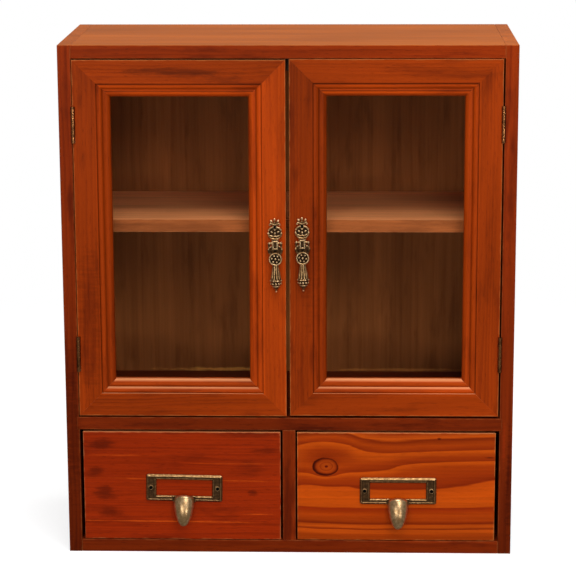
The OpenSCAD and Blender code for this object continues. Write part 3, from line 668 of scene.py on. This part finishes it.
MATERIALS = {name: wood(name, look) for name, look in WOODS.items()} | {
    "antique_brass": antique_brass(),
    "brass": plain_metal("brass", (170, 112, 66), (92, 58, 32), 0.26),
    "steel": plain_metal("steel", (188, 188, 184), (150, 150, 148), 0.32),
    "plastic": moulded_plastic(),
    "glass": clear_glass(),
}


# Boards
WELD = 1e-6
FLAT_ANGLE = math.radians(0.4)
ARRIS_ANGLE = math.radians(35)
SHARP_ANGLE = 1.3 * ARRIS_ANGLE
WOOD_ARRIS = 0.45
DOOR_ARRIS = 0.8
MITRE_ARRIS = 0.1
MITRE_SLACK = 0.02
MITRE_RUN = 0.3
SHORT_EDGE = 6 * MM


def cleaned(node):
    """The node's mesh with its corners joined and its flat faces whole."""
    bm = bmesh.new()
    bm.from_mesh(frame["nodes"][node].data)
    bmesh.ops.remove_doubles(bm, verts=bm.verts, dist=WELD)
    bmesh.ops.dissolve_limit(bm, angle_limit=FLAT_ANGLE, verts=bm.verts, edges=bm.edges)
    return bm


def is_arris(edge, shortest):
    if len(edge.link_faces) != 2 or not edge.is_convex:
        return False
    return edge.calc_length() >= shortest and edge.calc_face_angle() > ARRIS_ANGLE


def is_mitre(edge):
    """True for an edge that runs at 45 degrees, as seen from the front."""
    run = edge.verts[1].co - edge.verts[0].co
    return abs(abs(run.x) - abs(run.z)) < MITRE_SLACK * run.length and abs(run.x) > MITRE_RUN * run.length


def rounded(bm, edges, radius, segments=2):
    if edges:
        bmesh.ops.bevel(
            bm, geom=edges, offset=radius * MM, segments=segments, profile=0.5,
            affect="EDGES", clamp_overlap=True)


def add_values(mesh, name, values):
    """Stores one number or one vector for each vertex."""
    values = np.asarray(values, np.float32)
    kind, key = ("FLOAT_VECTOR", "vector") if values.ndim == 2 else ("FLOAT", "value")
    attribute = mesh.attributes.new(name, kind, "POINT")
    attribute.data.foreach_set(key, values.ravel())


def points_of(mesh):
    points = np.empty(3 * len(mesh.vertices), np.float32)
    mesh.vertices.foreach_get("co", points)
    return points.reshape(-1, 3)


def piece(name, bm, node, slot, flat_faced=True):
    """A new object for a CAD node, on the node's body."""
    bmesh.ops.recalc_face_normals(bm, faces=bm.faces)
    mesh = new_mesh(name, bm)
    mesh.materials.append(MATERIALS[slot])
    mesh.shade_smooth()
    if flat_faced:
        mesh.set_sharp_from_angle(angle=SHARP_ANGLE)
    made = new_object(name, mesh)
    if flat_faced:
        add_modifier(made, "even_normals", "WEIGHTED_NORMAL", keep_sharp=True)
    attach(made, BODY[node])
    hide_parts(node)
    return made


GRAIN_AXES = {"x": (0, 2, 1), "y": (1, 0, 2), "z": (2, 0, 1)}
GRAIN_SPREAD = 900
HEART = (60, 30)


def board(node, slot, axis, seed, tone=1.0, fall=0.0, fade=0.0, arris=WOOD_ARRIS):
    """A wooden piece from its CAD node, with softened arrises and its grain along an axis.
    Its foot is darker than its head by the share "fall"; a negative fall makes the foot lighter, as painted light."""
    bm = cleaned(node)
    rounded(bm, [e for e in bm.edges if is_mitre(e) and is_arris(e, 0)], MITRE_ARRIS, 1)
    rounded(bm, [e for e in bm.edges if is_arris(e, SHORT_EDGE) and not is_mitre(e)], arris)
    made = piece(node + "_board", bm, node, slot)
    points = points_of(made.data)
    low, high = points.min(0), points.max(0)
    order = GRAIN_AXES[axis]
    grain = (points[:, order] - points[:, order].mean(0)) / MM
    start = random.Random(seed).uniform(-GRAIN_SPREAD, GRAIN_SPREAD)
    drop = fall * (high[2] - points[:, 2]) / (high[2] - low[2])
    add_values(made.data, "grain", grain + np.array([start, *HEART]))
    add_values(made.data, "low", (points - low) / MM)
    add_values(made.data, "high", (high - points) / MM)
    add_values(made.data, "tone", tone * (1 - drop))
    add_values(made.data, "fade", np.full(len(points), fade))
    return made


DOOR_MEMBERS = ("hinge_stile", "meeting_stile", "top_rail", "bottom_rail")
DOOR_TONES = {"left": (0.72, 1.03, 0.82, 0.82), "right": (0.88, 0.65, 0.86, 0.91)}
DRAWER_PARTS = {"outer_side": "y", "inner_side": "y", "back": "x", "bottom": "x"}

# Each board's grain starts at its own place, drawn with its own seed.
SIDE_SEEDS = 10
DOOR_SEEDS = 10
BEADS_SEED = 16
FRONT_SEEDS = 30
DRAWER_SEEDS = 40


def add_member(made, side):
    """Stores how far inside the door's outline each vertex lies, and TOP_RAIL_FROM more on the top rail."""
    boxes = [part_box(f"{side}_door_{member}") for member in DOOR_MEMBERS]
    low = np.min([box[0] for box in boxes], 0)
    high = np.max([box[1] for box in boxes], 0)
    points = points_of(made.data)
    gaps = np.array([points - low, high - points])[:, :, [0, 2]]
    nearest = np.unravel_index(gaps.mean(1).argmin(), (2, 2))
    start = TOP_RAIL_FROM if nearest == (1, 1) else 0
    add_values(made.data, "member", gaps[nearest[0], :, nearest[1]] / MM + start)


def add_case_boards():
    # A board's "fade" is how much painted sheen its faces that look up take.
    board("left_side", "case_wood", "z", seed=1, fall=0.55, fade=0.85)
    board("right_side", "case_wood", "z", seed=2, tone=1.13, fall=0.62, fade=0.85)
    board("top_board", "case_wood", "x", seed=3, fade=0.95)
    board("bottom_board", "case_wood", "x", seed=4, tone=0.66)
    board("middle_board", "case_wood", "x", seed=5, tone=0.6)
    board("drawer_divider", "case_wood", "z", seed=6, tone=0.68)
    board("shelf", "inner_wood", "x", seed=7, fade=0.9)
    # The back panel's negative fall paints it lighter toward its foot: painted light.
    board("back_panel", "back_wood", "z", seed=8, fall=-0.75, arris=0.2)


def add_side_boards(number, side):
    """The boards of one door and of the drawer under it."""
    shift = SIDE_SEEDS * number
    # A board's "fade" is how much painted sheen its faces that look up take.
    for offset, member in enumerate(DOOR_MEMBERS):
        axis = "z" if "stile" in member else "x"
        made = board(f"{side}_door_{member}", "door_wood", axis, DOOR_SEEDS + shift + offset,
                     tone=DOOR_TONES[side][offset], fade=0.8, arris=DOOR_ARRIS)
        add_member(made, side)
    board(f"{side}_door_glass_beads", "door_wood", "z", BEADS_SEED + shift, arris=0.3)
    board(f"{side}_drawer_front", f"{side}_drawer_wood", "x", FRONT_SEEDS + number, fade=0.8, arris=0.6)
    for offset, (part, axis) in enumerate(DRAWER_PARTS.items()):
        board(f"{side}_drawer_{part}", "drawer_box_wood", axis, DRAWER_SEEDS + shift + offset, arris=0.35)


add_case_boards()
for number, side in enumerate(SIDES):
    add_side_boards(number, side)


# Castings
ROUND_SIDES = 18
BALL_ROWS = 12
TURNED_SIDES = 40
DISC_SIDES = 32
AXIS_R = 0.01
WELD_MM = 1e-4
BLOCK = 200


def front(at):
    """A place given as millimetres across, out of the face and up, as a vector."""
    return Vector((at[0], -at[1], at[2]))


def circle(count, radius):
    """Points round a circle of that radius."""
    turns = [2 * math.pi * step / count for step in range(count)]
    return [(radius * math.cos(a), radius * math.sin(a)) for a in turns]


def heading(angle):
    """The two parts of a step of length 1: aside, and ahead, turned by that many degrees from ahead."""
    return math.sin(math.radians(angle)), math.cos(math.radians(angle))


def block_behind(back):
    """A block that holds all that lies behind that distance out."""
    bm = bmesh.new()
    bmesh.ops.create_cube(bm, size=BLOCK, matrix=Matrix.Translation(front((0, back - BLOCK / 2, 0))))
    return new_object("behind", new_mesh("behind", bm))


class Casting:
    """Closed shapes in millimetres that overlap and are fused into one skin."""

    def __init__(self):
        self.bm = bmesh.new()

    def solid(self, loops):
        """A closed skin over loops of places."""
        loops = [[self.bm.verts.new(place) for place in loop] for loop in loops]
        self.bridge([loop + loop[:1] for loop in loops])
        for loop in (loops[0], loops[-1]):
            self.bm.faces.new(loop)

    def ball(self, at, radii, turn=0.0):
        """An ellipsoid of radii across, out and up, turned clockwise as seen from the front."""
        shape = Matrix.Rotation(math.radians(turn), 3, "Y") @ Matrix.Diagonal(radii)
        loops = []
        for row in range(1, BALL_ROWS):
            lean = math.pi * row / BALL_ROWS
            level = [Vector((x, y, math.cos(lean))) for x, y in circle(ROUND_SIDES, math.sin(lean))]
            loops.append([front(at) + shape @ place for place in level])
        self.solid(loops)

    def bar(self, points, radii):
        """A round bar through points, with its own radius at each and round ends."""
        places = [front(point) for point in points]
        loops = []
        for i, (place, radius) in enumerate(zip(places, radii)):
            run = places[min(i + 1, len(places) - 1)] - places[max(i - 1, 0)]
            turn = run.to_track_quat("Z", "Y").to_matrix()
            loops.append([place + turn @ Vector((x, y, 0)) for x, y in circle(ROUND_SIDES, radius)])
        self.solid(loops)
        self.ball(points[0], [radii[0]] * 3)
        self.ball(points[-1], [radii[-1]] * 3)

    def plate(self, outline, low, high):
        """A plate of an outline drawn as seen from the front."""
        face = self.bm.faces.new([self.bm.verts.new(front((x, low, z))) for x, z in outline])
        raised = bmesh.ops.extrude_face_region(self.bm, geom=[face])["geom"]
        corners = [v for v in raised if isinstance(v, bmesh.types.BMVert)]
        bmesh.ops.translate(self.bm, verts=corners, vec=front((0, high - low, 0)))

    def rim(self, outer, inner, low, high):
        """A flat ring between two outlines that have as many points each."""
        loops = [[self.bm.verts.new(front((x, out, z))) for x, z in outline]
                 for outline, out in ((outer, low), (outer, high), (inner, high), (inner, low))]
        self.bridge([loop + loop[:1] for loop in loops + loops[:1]])

    def turned(self, profile, at, upright=True):
        """A solid turned from (radius, height) pairs about an upright axis, or about one that stands out."""
        loops = []
        for radius, height in profile:
            ring = circle(TURNED_SIDES, max(radius, AXIS_R))
            local = [(x, y, height) if upright else (x, height, y) for x, y in ring]
            loops.append([front([a + b for a, b in zip(at, place)]) for place in local])
        self.solid(loops)

    def bridge(self, rows):
        for first, second in zip(rows, rows[1:]):
            for corners in zip(first, first[1:], second[1:], second):
                self.bm.faces.new(corners)

    def fused(self, voxel, passes, back):
        """The skin as a bmesh in millimetres, with a flat back at that distance out."""
        bmesh.ops.remove_doubles(self.bm, verts=self.bm.verts, dist=WELD_MM)
        bmesh.ops.recalc_face_normals(self.bm, faces=self.bm.faces)
        rough = new_object("casting", new_mesh("casting", self.bm))
        behind = block_behind(back)
        add_modifier(rough, "skin", "REMESH", mode="VOXEL", voxel_size=voxel)
        add_modifier(rough, "soften", "SMOOTH", iterations=passes)
        add_modifier(rough, "flat_back", "BOOLEAN", operation="DIFFERENCE", solver="EXACT", object=behind)
        graph = bpy.context.evaluated_depsgraph_get()
        bm = bmesh.new()
        bm.from_mesh(bpy.data.meshes.new_from_object(rough.evaluated_get(graph)))
        bpy.data.objects.remove(rough)
        bpy.data.objects.remove(behind)
        return bm


def neighbour_mean(values, edges, count):
    """Each vertex's mean over the vertices that it shares an edge with."""
    total = np.zeros((len(values), 3))
    for axis in range(3):
        total[:, axis] += np.bincount(edges[:, 0], values[edges[:, 1], axis], len(values))
        total[:, axis] += np.bincount(edges[:, 1], values[edges[:, 0], axis], len(values))
    return total / count[:, None]


FLAT_PROUD = 0.54
SUNK_DULLS = 0.5
DULLING = 0.22
WEARING = 0.22
WEAR_DEPTH = 4.0


def add_proud(mesh, passes, depth, dulled, worn_from):
    """Stores how rubbed each vertex is: near 1 on what stands out of the skin round it, near 0 in recesses.
    Heights between "dulled" are less rubbed, and what stands farther out than "worn_from" is rubbed more."""
    points = points_of(mesh).astype(float)
    normals = np.empty(3 * len(points), np.float32)
    mesh.vertices.foreach_get("normal", normals)
    edges = np.empty(2 * len(mesh.edges), np.int32)
    mesh.edges.foreach_get("vertices", edges)
    edges = edges.reshape(-1, 2)
    count = np.maximum(np.bincount(edges.ravel(), minlength=len(points)), 1)
    smooth = points
    for _ in range(passes):
        smooth = neighbour_mean(smooth, edges, count)
    sunk = ((smooth - points) * normals.reshape(-1, 3)).sum(1) / (depth * MM)
    proud = FLAT_PROUD - SUNK_DULLS * sunk
    dull = (points[:, 2] > dulled[0]) & (points[:, 2] < dulled[1])
    proud -= DULLING * dull
    out = points[:, 1].max() - points[:, 1]
    proud += WEARING * np.clip((out / MM - worn_from) / WEAR_DEPTH, 0, 1)
    add_values(mesh, "proud", np.clip(proud, 0, 1))


def add_casting(bm, node, at, tilt=0.0, passes=16, depth=0.22, dulled=(0, 0), worn_from=100):
    """Puts a fused casting, made in millimetres, where its CAD node is, turned by the tilt in degrees.
    "dulled" is measured up from "at"."""
    bm.transform(Matrix.Translation(at) @ Matrix.Rotation(math.radians(tilt), 4, "Y") @ Matrix.Scale(MM, 4))
    made = piece(node + "_casting", bm, node, "antique_brass", flat_faced=False)
    add_proud(made.data, passes, depth, [at.z + height * MM for height in dulled], worn_from)


def mirrored_pair(x, *rest):
    return [(-x, *rest), (x, *rest)]


# Drop pulls, measured from the pivot of the pendant
NAIL_UP = 13.2
PETALS = ((-28, 5.9), (0, 6.4), (28, 5.9))
CROWN_BAND = ((-4.0, 2.1), (-3.5, 3.1), (-2.1, 2.7), (0, 2.0), (2.1, 2.7), (3.5, 3.1), (4.0, 2.1))
ROSETTE_UP = 8.0
ROSETTE_RIM = ((1.3, 13.4), (3.6, 12.5), (5.2, 10.6), (5.5, 8.2), (4.8, 5.8), (3.0, 3.6), (0, 2.9))
ROSETTE_FOOT = ((-4.6, 6.3), (-3.0, 5.9), (-1.4, 5.2), (0, 5.6), (1.4, 5.2), (3.0, 5.9), (4.6, 6.3))
STRAP_HALF = 2.2
STRAP_LOW = -5.2
STRAP_TOP = 2.3
STRAP_OUT = 6.1
STRAP_RECESS = 0.75
PIVOT_OUT = 4.2
PENDANT_BACK = 0.6
PLATE_FROM = -0.5
PLATE_TO = 1.3
FINE_VOXEL = 0.17
SOFTENING = 2


def box_outline(left, right, low, high):
    return [(left, low), (right, low), (right, high), (left, high)]


def disc_outline(x, z, radius):
    return [(x + across, z + up) for across, up in circle(DISC_SIDES, radius)]


def pull_backplate():
    c = Casting()
    for turn, reach in PETALS:
        x, z = heading(turn)
        middle = (x * 0.6 * reach, 1.0, NAIL_UP + z * 0.6 * reach)
        tip = (x * reach, 1.5, NAIL_UP + z * reach)
        c.ball(middle, (0.8, 0.9, 0.42 * reach), turn)
        c.ball(tip, (1.05, 1.05, 1.45), turn)
    c.bar([(x, 1.5, NAIL_UP + z) for x, z in CROWN_BAND], [0.95, 0.9, 0.75, 0.65, 0.75, 0.9, 0.95])
    c.plate(disc_outline(0, NAIL_UP, 2.4), PLATE_FROM, 1.1)
    c.turned([(1.35, 0.6), (2.1, 0.6), (2.3, 1.2), (1.9, 1.7), (1.35, 1.3)], (0, 0, NAIL_UP), upright=False)
    c.plate(disc_outline(0, ROSETTE_UP - 0.3, 5.6), PLATE_FROM, 1.0)
    for x in (-1, 1):
        points = [(x * across, 1.5, up) for across, up in ROSETTE_RIM]
        c.bar(points, [0.6, 0.75, 0.8, 0.8, 0.75, 0.75, 0.8])
    c.ball((0, 1.4, ROSETTE_UP), (1.0, 1.1, 1.0))
    for x, z in mirrored_pair(2.7, ROSETTE_UP + 1.1):
        c.ball((x, 1.3, z), (0.85, 1.0, 1.15), 20 * x)
    c.ball((0, 1.3, ROSETTE_UP + 2.9), (0.7, 0.9, 0.85))
    c.bar([(x, 1.6, z) for x, z in ROSETTE_FOOT], [0.5, 0.6, 0.65, 0.65, 0.65, 0.6, 0.5])
    c.plate(box_outline(-3, 3, -4.5, 4), PLATE_FROM, PLATE_TO)
    for x, z in mirrored_pair(3.3, -6.2):
        c.plate(disc_outline(x, z, 2.9), PLATE_FROM, PLATE_TO)
    c.plate(disc_outline(0, -7.6, 2.6), PLATE_FROM, PLATE_TO)
    strap = box_outline(-STRAP_HALF, STRAP_HALF, STRAP_LOW, STRAP_TOP)
    c.plate(strap, 0.5, STRAP_OUT - STRAP_RECESS)
    recess = box_outline(1 - STRAP_HALF, STRAP_HALF - 1, STRAP_LOW + 1.2, STRAP_TOP - 1.2)
    c.rim(strap, recess, 4.6, STRAP_OUT)
    return c.fused(FINE_VOXEL, SOFTENING, 0.0)


ARM = ((4.7, -0.2), (5.3, -2.6), (5.6, -5.2), (5.0, -7.6), (3.4, -9.6))
MEDALLION_UP = -13.3
MEDALLION = ((0.0, -1.5), (4.9, -1.5), (5.4, -0.8), (5.4, 1.1), (0.0, 1.1))
DOT_TURN = -9
DOT_STEP = 60
STIRRUP_UP = (-8.5, -0.9)
STEM = (
    (0.0, -17.6), (2.0, -18.2), (2.1, -19.5), (3.3, -28.5), (3.9, -30.6), (4.6, -31.2), (4.6, -32.2),
    (4.0, -33.0), (4.1, -34.6), (3.2, -35.6), (3.3, -36.6), (2.0, -38.6), (0.75, -39.9), (0.55, -40.4),
    (0.0, -40.6))
RIBS = range(-126, 127, 36)
UPPER_BEADS = range(-175, 185, 50)
LOWER_BEADS = range(-152, 190, 38)
HOOP_STEPS = 28


def hoop(radius):
    """Points round a circle, with the first one again at the end."""
    points = circle(HOOP_STEPS, radius)
    return points + points[:1]


def pull_pendant():
    """The pendant, measured from its pivot. Its turned parts are cut flat toward the door."""
    c = Casting()
    c.bar([(-5.3, 0, 0), (5.3, 0, 0)], [0.9, 0.9])
    for x in (-1, 1):
        c.ball((4.9 * x, 0, 0), (0.9, 1.2, 1.2))
        c.bar([(x * across, 0.0, up) for across, up in ARM], [1.0, 0.95, 1.0, 1.1, 1.2])
    c.turned(MEDALLION, (0, 0, MEDALLION_UP), upright=False)
    rim = [(x, 1.35, MEDALLION_UP + z) for x, z in hoop(4.95)]
    c.bar(rim, [0.68] * len(rim))
    c.ball((0, 1.2, MEDALLION_UP), (0.95, 0.95, 0.95))
    for step in range(6):
        a = math.radians(DOT_TURN + DOT_STEP * step)
        c.ball((3.0 * math.cos(a), 1.15, MEDALLION_UP + 3.0 * math.sin(a)), (0.85, 0.9, 0.85))
    c.turned(STEM, (0, 0, 0))
    for x, y in map(heading, RIBS):
        c.bar([(1.9 * x, 1.9 * y, -18.8), (3.6 * x, 3.6 * y, -30.2)], [0.62, 0.85])
    for x, y in map(heading, UPPER_BEADS):
        c.ball((4.15 * x, 4.15 * y, -31.6), (1.3, 1.3, 0.95))
    for x, y in map(heading, LOWER_BEADS):
        c.ball((3.85 * x, 3.85 * y, -34.1), (1.15, 1.15, 1.1))
    collar = [(x, y, -36.4) for x, y in hoop(3.1)]
    c.bar(collar, [0.6] * len(collar))
    c.ball((0, 0, -41.1), (0.85, 0.85, 0.9))
    return c.fused(FINE_VOXEL, SOFTENING, PENDANT_BACK - PIVOT_OUT)


# Label holders, measured from the centre of the plate
LABEL_W = 65.5
LABEL_H = 23.6
LABEL_T = 1.6
LABEL_RIM_T = 2.4
LABEL_RIM_W = 1.9
WINDOW_RIM_W = 1.1
OUTER_BEVEL = 1.5
WINDOW_BEVEL = 1.1
BEVEL_SLOPE = 0.9
BEVEL_FROM = 0.9
LABEL_CORNER = 2.2
LABEL_FROM = -0.6
CORNER_STEPS = 6
WINDOW_W = 48.0
WINDOW_H = 14.3
WINDOW_UP = 0.1
WINDOW_CORNER = 0.5
WINDOW_RIM_T = 1.85
WINDOW_RIM_CORNER = 1.2
PAD_X = 28.6
PAD_FACE = 0.5
DISH_R = 3.0
LIP_R = 1.7
LIP_W = 0.45
LIP_H = 0.35
PIT_R = 1.45
PIT_SLOPE = 0.5
PIT_DEPTH = 1.25
LABEL_VOXEL = 0.24
HOOK_FROM = (1.6, -10.6)
HOOK_LEAN = (40, 2)
HOOK_FLAT = 0.8
HOOK_R = 9.15
HOOK_BELOW = 22.6
HOOK_ABOVE = 3.6
HOOK_WALL = 1.2
HOOK_TAPER = (1.3, 0.42)
HOOK_CLEAR = 0.6
HOOK_ROWS = 30
HOOK_SIDES = 24
HOOK_STEPS = 12


def rounded_outline(width, height, radius, up=0.0):
    """A rectangle with round corners, with as many points whatever the radius."""
    points = []
    for quarter, (sx, sz) in enumerate(((1, 1), (-1, 1), (-1, -1), (1, -1))):
        for step in range(CORNER_STEPS + 1):
            a = math.pi / 2 * (quarter + step / CORNER_STEPS)
            x = sx * (width / 2 - radius) + radius * math.cos(a)
            points.append((x, up + sz * (height / 2 - radius) + radius * math.sin(a)))
    return points


def hook_half_width(s, radius, below, above):
    """The finger hook's half width at a distance s below its widest place."""
    if s < 0:
        return radius * math.sqrt(max(0, 1 - (s / above) ** 2))
    fullness, bluntness = HOOK_TAPER
    return radius * max(0, 1 - (s / below) ** fullness) ** bluntness


def hook_lean(s):
    """How far the hook leans out at a distance s below its widest place, in radians."""
    share = (s + HOOK_ABOVE) / (HOOK_BELOW + HOOK_ABOVE)
    return math.radians(HOOK_LEAN[0] + (HOOK_LEAN[1] - HOOK_LEAN[0]) * share)


def hook_axis(s):
    """Where the hook's axis is at a distance s along it: out from the plate, and up."""
    leans = [hook_lean(s * (step + 0.5) / HOOK_STEPS) for step in range(HOOK_STEPS)]
    out = sum(map(math.sin, leans)) * s / HOOK_STEPS
    up = -sum(map(math.cos, leans)) * s / HOOK_STEPS
    return HOOK_FROM[0] + out, HOOK_FROM[1] + up


def hook_skin(wall):
    """Rows of places round the hook's front, that far inside its outer skin."""
    radius, below, above = HOOK_R - wall, HOOK_BELOW - wall, HOOK_ABOVE - wall
    rows = []
    for i in range(HOOK_ROWS + 1):
        s = (below - above) / 2 - (below + above) / 2 * math.cos(math.pi * i / HOOK_ROWS)
        half = max(hook_half_width(s, radius, below, above), AXIS_R)
        lean = hook_lean(s)
        axis_out, axis_up = hook_axis(s)
        row = []
        for j in range(HOOK_SIDES + 1):
            a = math.pi * j / HOOK_SIDES
            out = HOOK_FLAT * half * math.sin(a)
            row.append((half * math.cos(a), axis_out + out * math.cos(lean), axis_up + out * math.sin(lean)))
        rows.append(row)
    return rows


def hook_shell(c):
    """Half of a hollow turned shape, open toward the drawer. It springs out of the plate and bends down."""
    skins = [[[c.bm.verts.new(front(place)) for place in row] for row in hook_skin(wall)]
             for wall in (0, HOOK_WALL)]
    for skin in skins:
        c.bridge(skin)
    for end in (0, -1):
        c.bridge([skin[end] for skin in skins])
        c.bridge([[row[end] for row in skin] for skin in skins])


def bevel_plate(bm):
    """Slopes the plate's front down toward its outer edge and toward its window."""
    for vert in bm.verts:
        across, out, up = abs(vert.co.x), -vert.co.y, vert.co.z
        on_hook = across < HOOK_R + HOOK_CLEAR and up < 0
        if on_hook or out < BEVEL_FROM:
            continue
        inside = min(LABEL_W / 2 - across, LABEL_H / 2 - abs(up))
        beside = max(across - WINDOW_W / 2, abs(up - WINDOW_UP) - WINDOW_H / 2)
        cut = BEVEL_SLOPE * max(0, OUTER_BEVEL - inside, WINDOW_BEVEL - beside)
        vert.co.y += min(cut, out - BEVEL_FROM)


def dish(bm, x):
    """Presses a pin hole with a raised lip into the pad at x."""
    for vert in bm.verts:
        away = math.hypot(vert.co.x - x, vert.co.z)
        if vert.co.y <= -PAD_FACE and away < DISH_R:
            lip = LIP_H * math.exp(-((away - LIP_R) / LIP_W) ** 2)
            pit = PIT_DEPTH * max(0.0, min(1.0, (PIT_R - away) / PIT_SLOPE))
            vert.co.y += pit - lip


def label_pull():
    c = Casting()
    outer = rounded_outline(LABEL_W, LABEL_H, LABEL_CORNER)
    window = rounded_outline(WINDOW_W, WINDOW_H, WINDOW_CORNER, WINDOW_UP)
    c.rim(outer, window, LABEL_FROM, LABEL_T)
    inside = rounded_outline(LABEL_W - 2 * LABEL_RIM_W, LABEL_H - 2 * LABEL_RIM_W, LABEL_CORNER - 1)
    c.rim(outer, inside, LABEL_FROM, LABEL_RIM_T)
    width, height = WINDOW_W + 2 * WINDOW_RIM_W, WINDOW_H + 2 * WINDOW_RIM_W
    edge = rounded_outline(width, height, WINDOW_RIM_CORNER, WINDOW_UP)
    c.rim(edge, window, LABEL_FROM, WINDOW_RIM_T)
    hook_shell(c)
    bm = c.fused(LABEL_VOXEL, SOFTENING, 0.0)
    bevel_plate(bm)
    for x in (-PAD_X, PAD_X):
        dish(bm, x)
    return bm


LABEL_TILTS = {"left": 1.0, "right": 0.0}
PULL_LEAN = -1.2


def add_pulls(side):
    """The drop pull on a door and the label holder on the drawer under it."""
    pivots = {joint["name"]: joint["pos_m"] for joint in frame["joints"] if "pos_m" in joint}
    across, _, up = pivots[f"{side}_pull_swing"]
    pivot = Vector((across, FRONT_Y, up))
    add_casting(pull_backplate(), f"{side}_pull_backplate", pivot, PULL_LEAN)
    hung = pivot + front((0, PIVOT_OUT, 0)) * MM
    add_casting(pull_pendant(), f"{side}_pull_pendant", hung, PULL_LEAN, dulled=STIRRUP_UP)
    low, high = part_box(f"{side}_label_pins")
    at = Vector(((low.x + high.x) / 2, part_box(f"{side}_drawer_front")[0].y, (low.z + high.z) / 2))
    add_casting(
        label_pull(), f"{side}_label_pull", at, LABEL_TILTS[side], passes=14, depth=0.8, worn_from=3.0)


for side in SIDES:
    add_pulls(side)

# The CAD nodes that stay, and their materials. Those of the first table are on both sides.
PAIRED_NODES = {
    "pull_nails": "antique_brass", "label_pins": "antique_brass", "drawer_nails": "steel",
    "strike_plate": "steel", "door_glass": "glass", "door_screws": "brass",
    "upper_hinge_case_leaf": "brass", "lower_hinge_case_leaf": "brass",
    "upper_hinge_door_leaf": "brass", "lower_hinge_door_leaf": "brass",
}
SINGLE_NODES = {
    "case_nails": "steel", "case_screws": "brass", "hinge_pins": "brass", "catch_housing": "plastic",
    "catch_magnets": "steel", "shelf_pegs": "inner_wood",
}


def finish_node(node, slot):
    """Gives a CAD node that stays its material."""
    kept = frame["nodes"][node]
    kept.data.materials.clear()
    kept.data.materials.append(MATERIALS[slot])


for name, slot in PAIRED_NODES.items():
    for side in SIDES:
        finish_node(f"{side}_{name}", slot)
for name, slot in SINGLE_NODES.items():
    finish_node(name, slot)
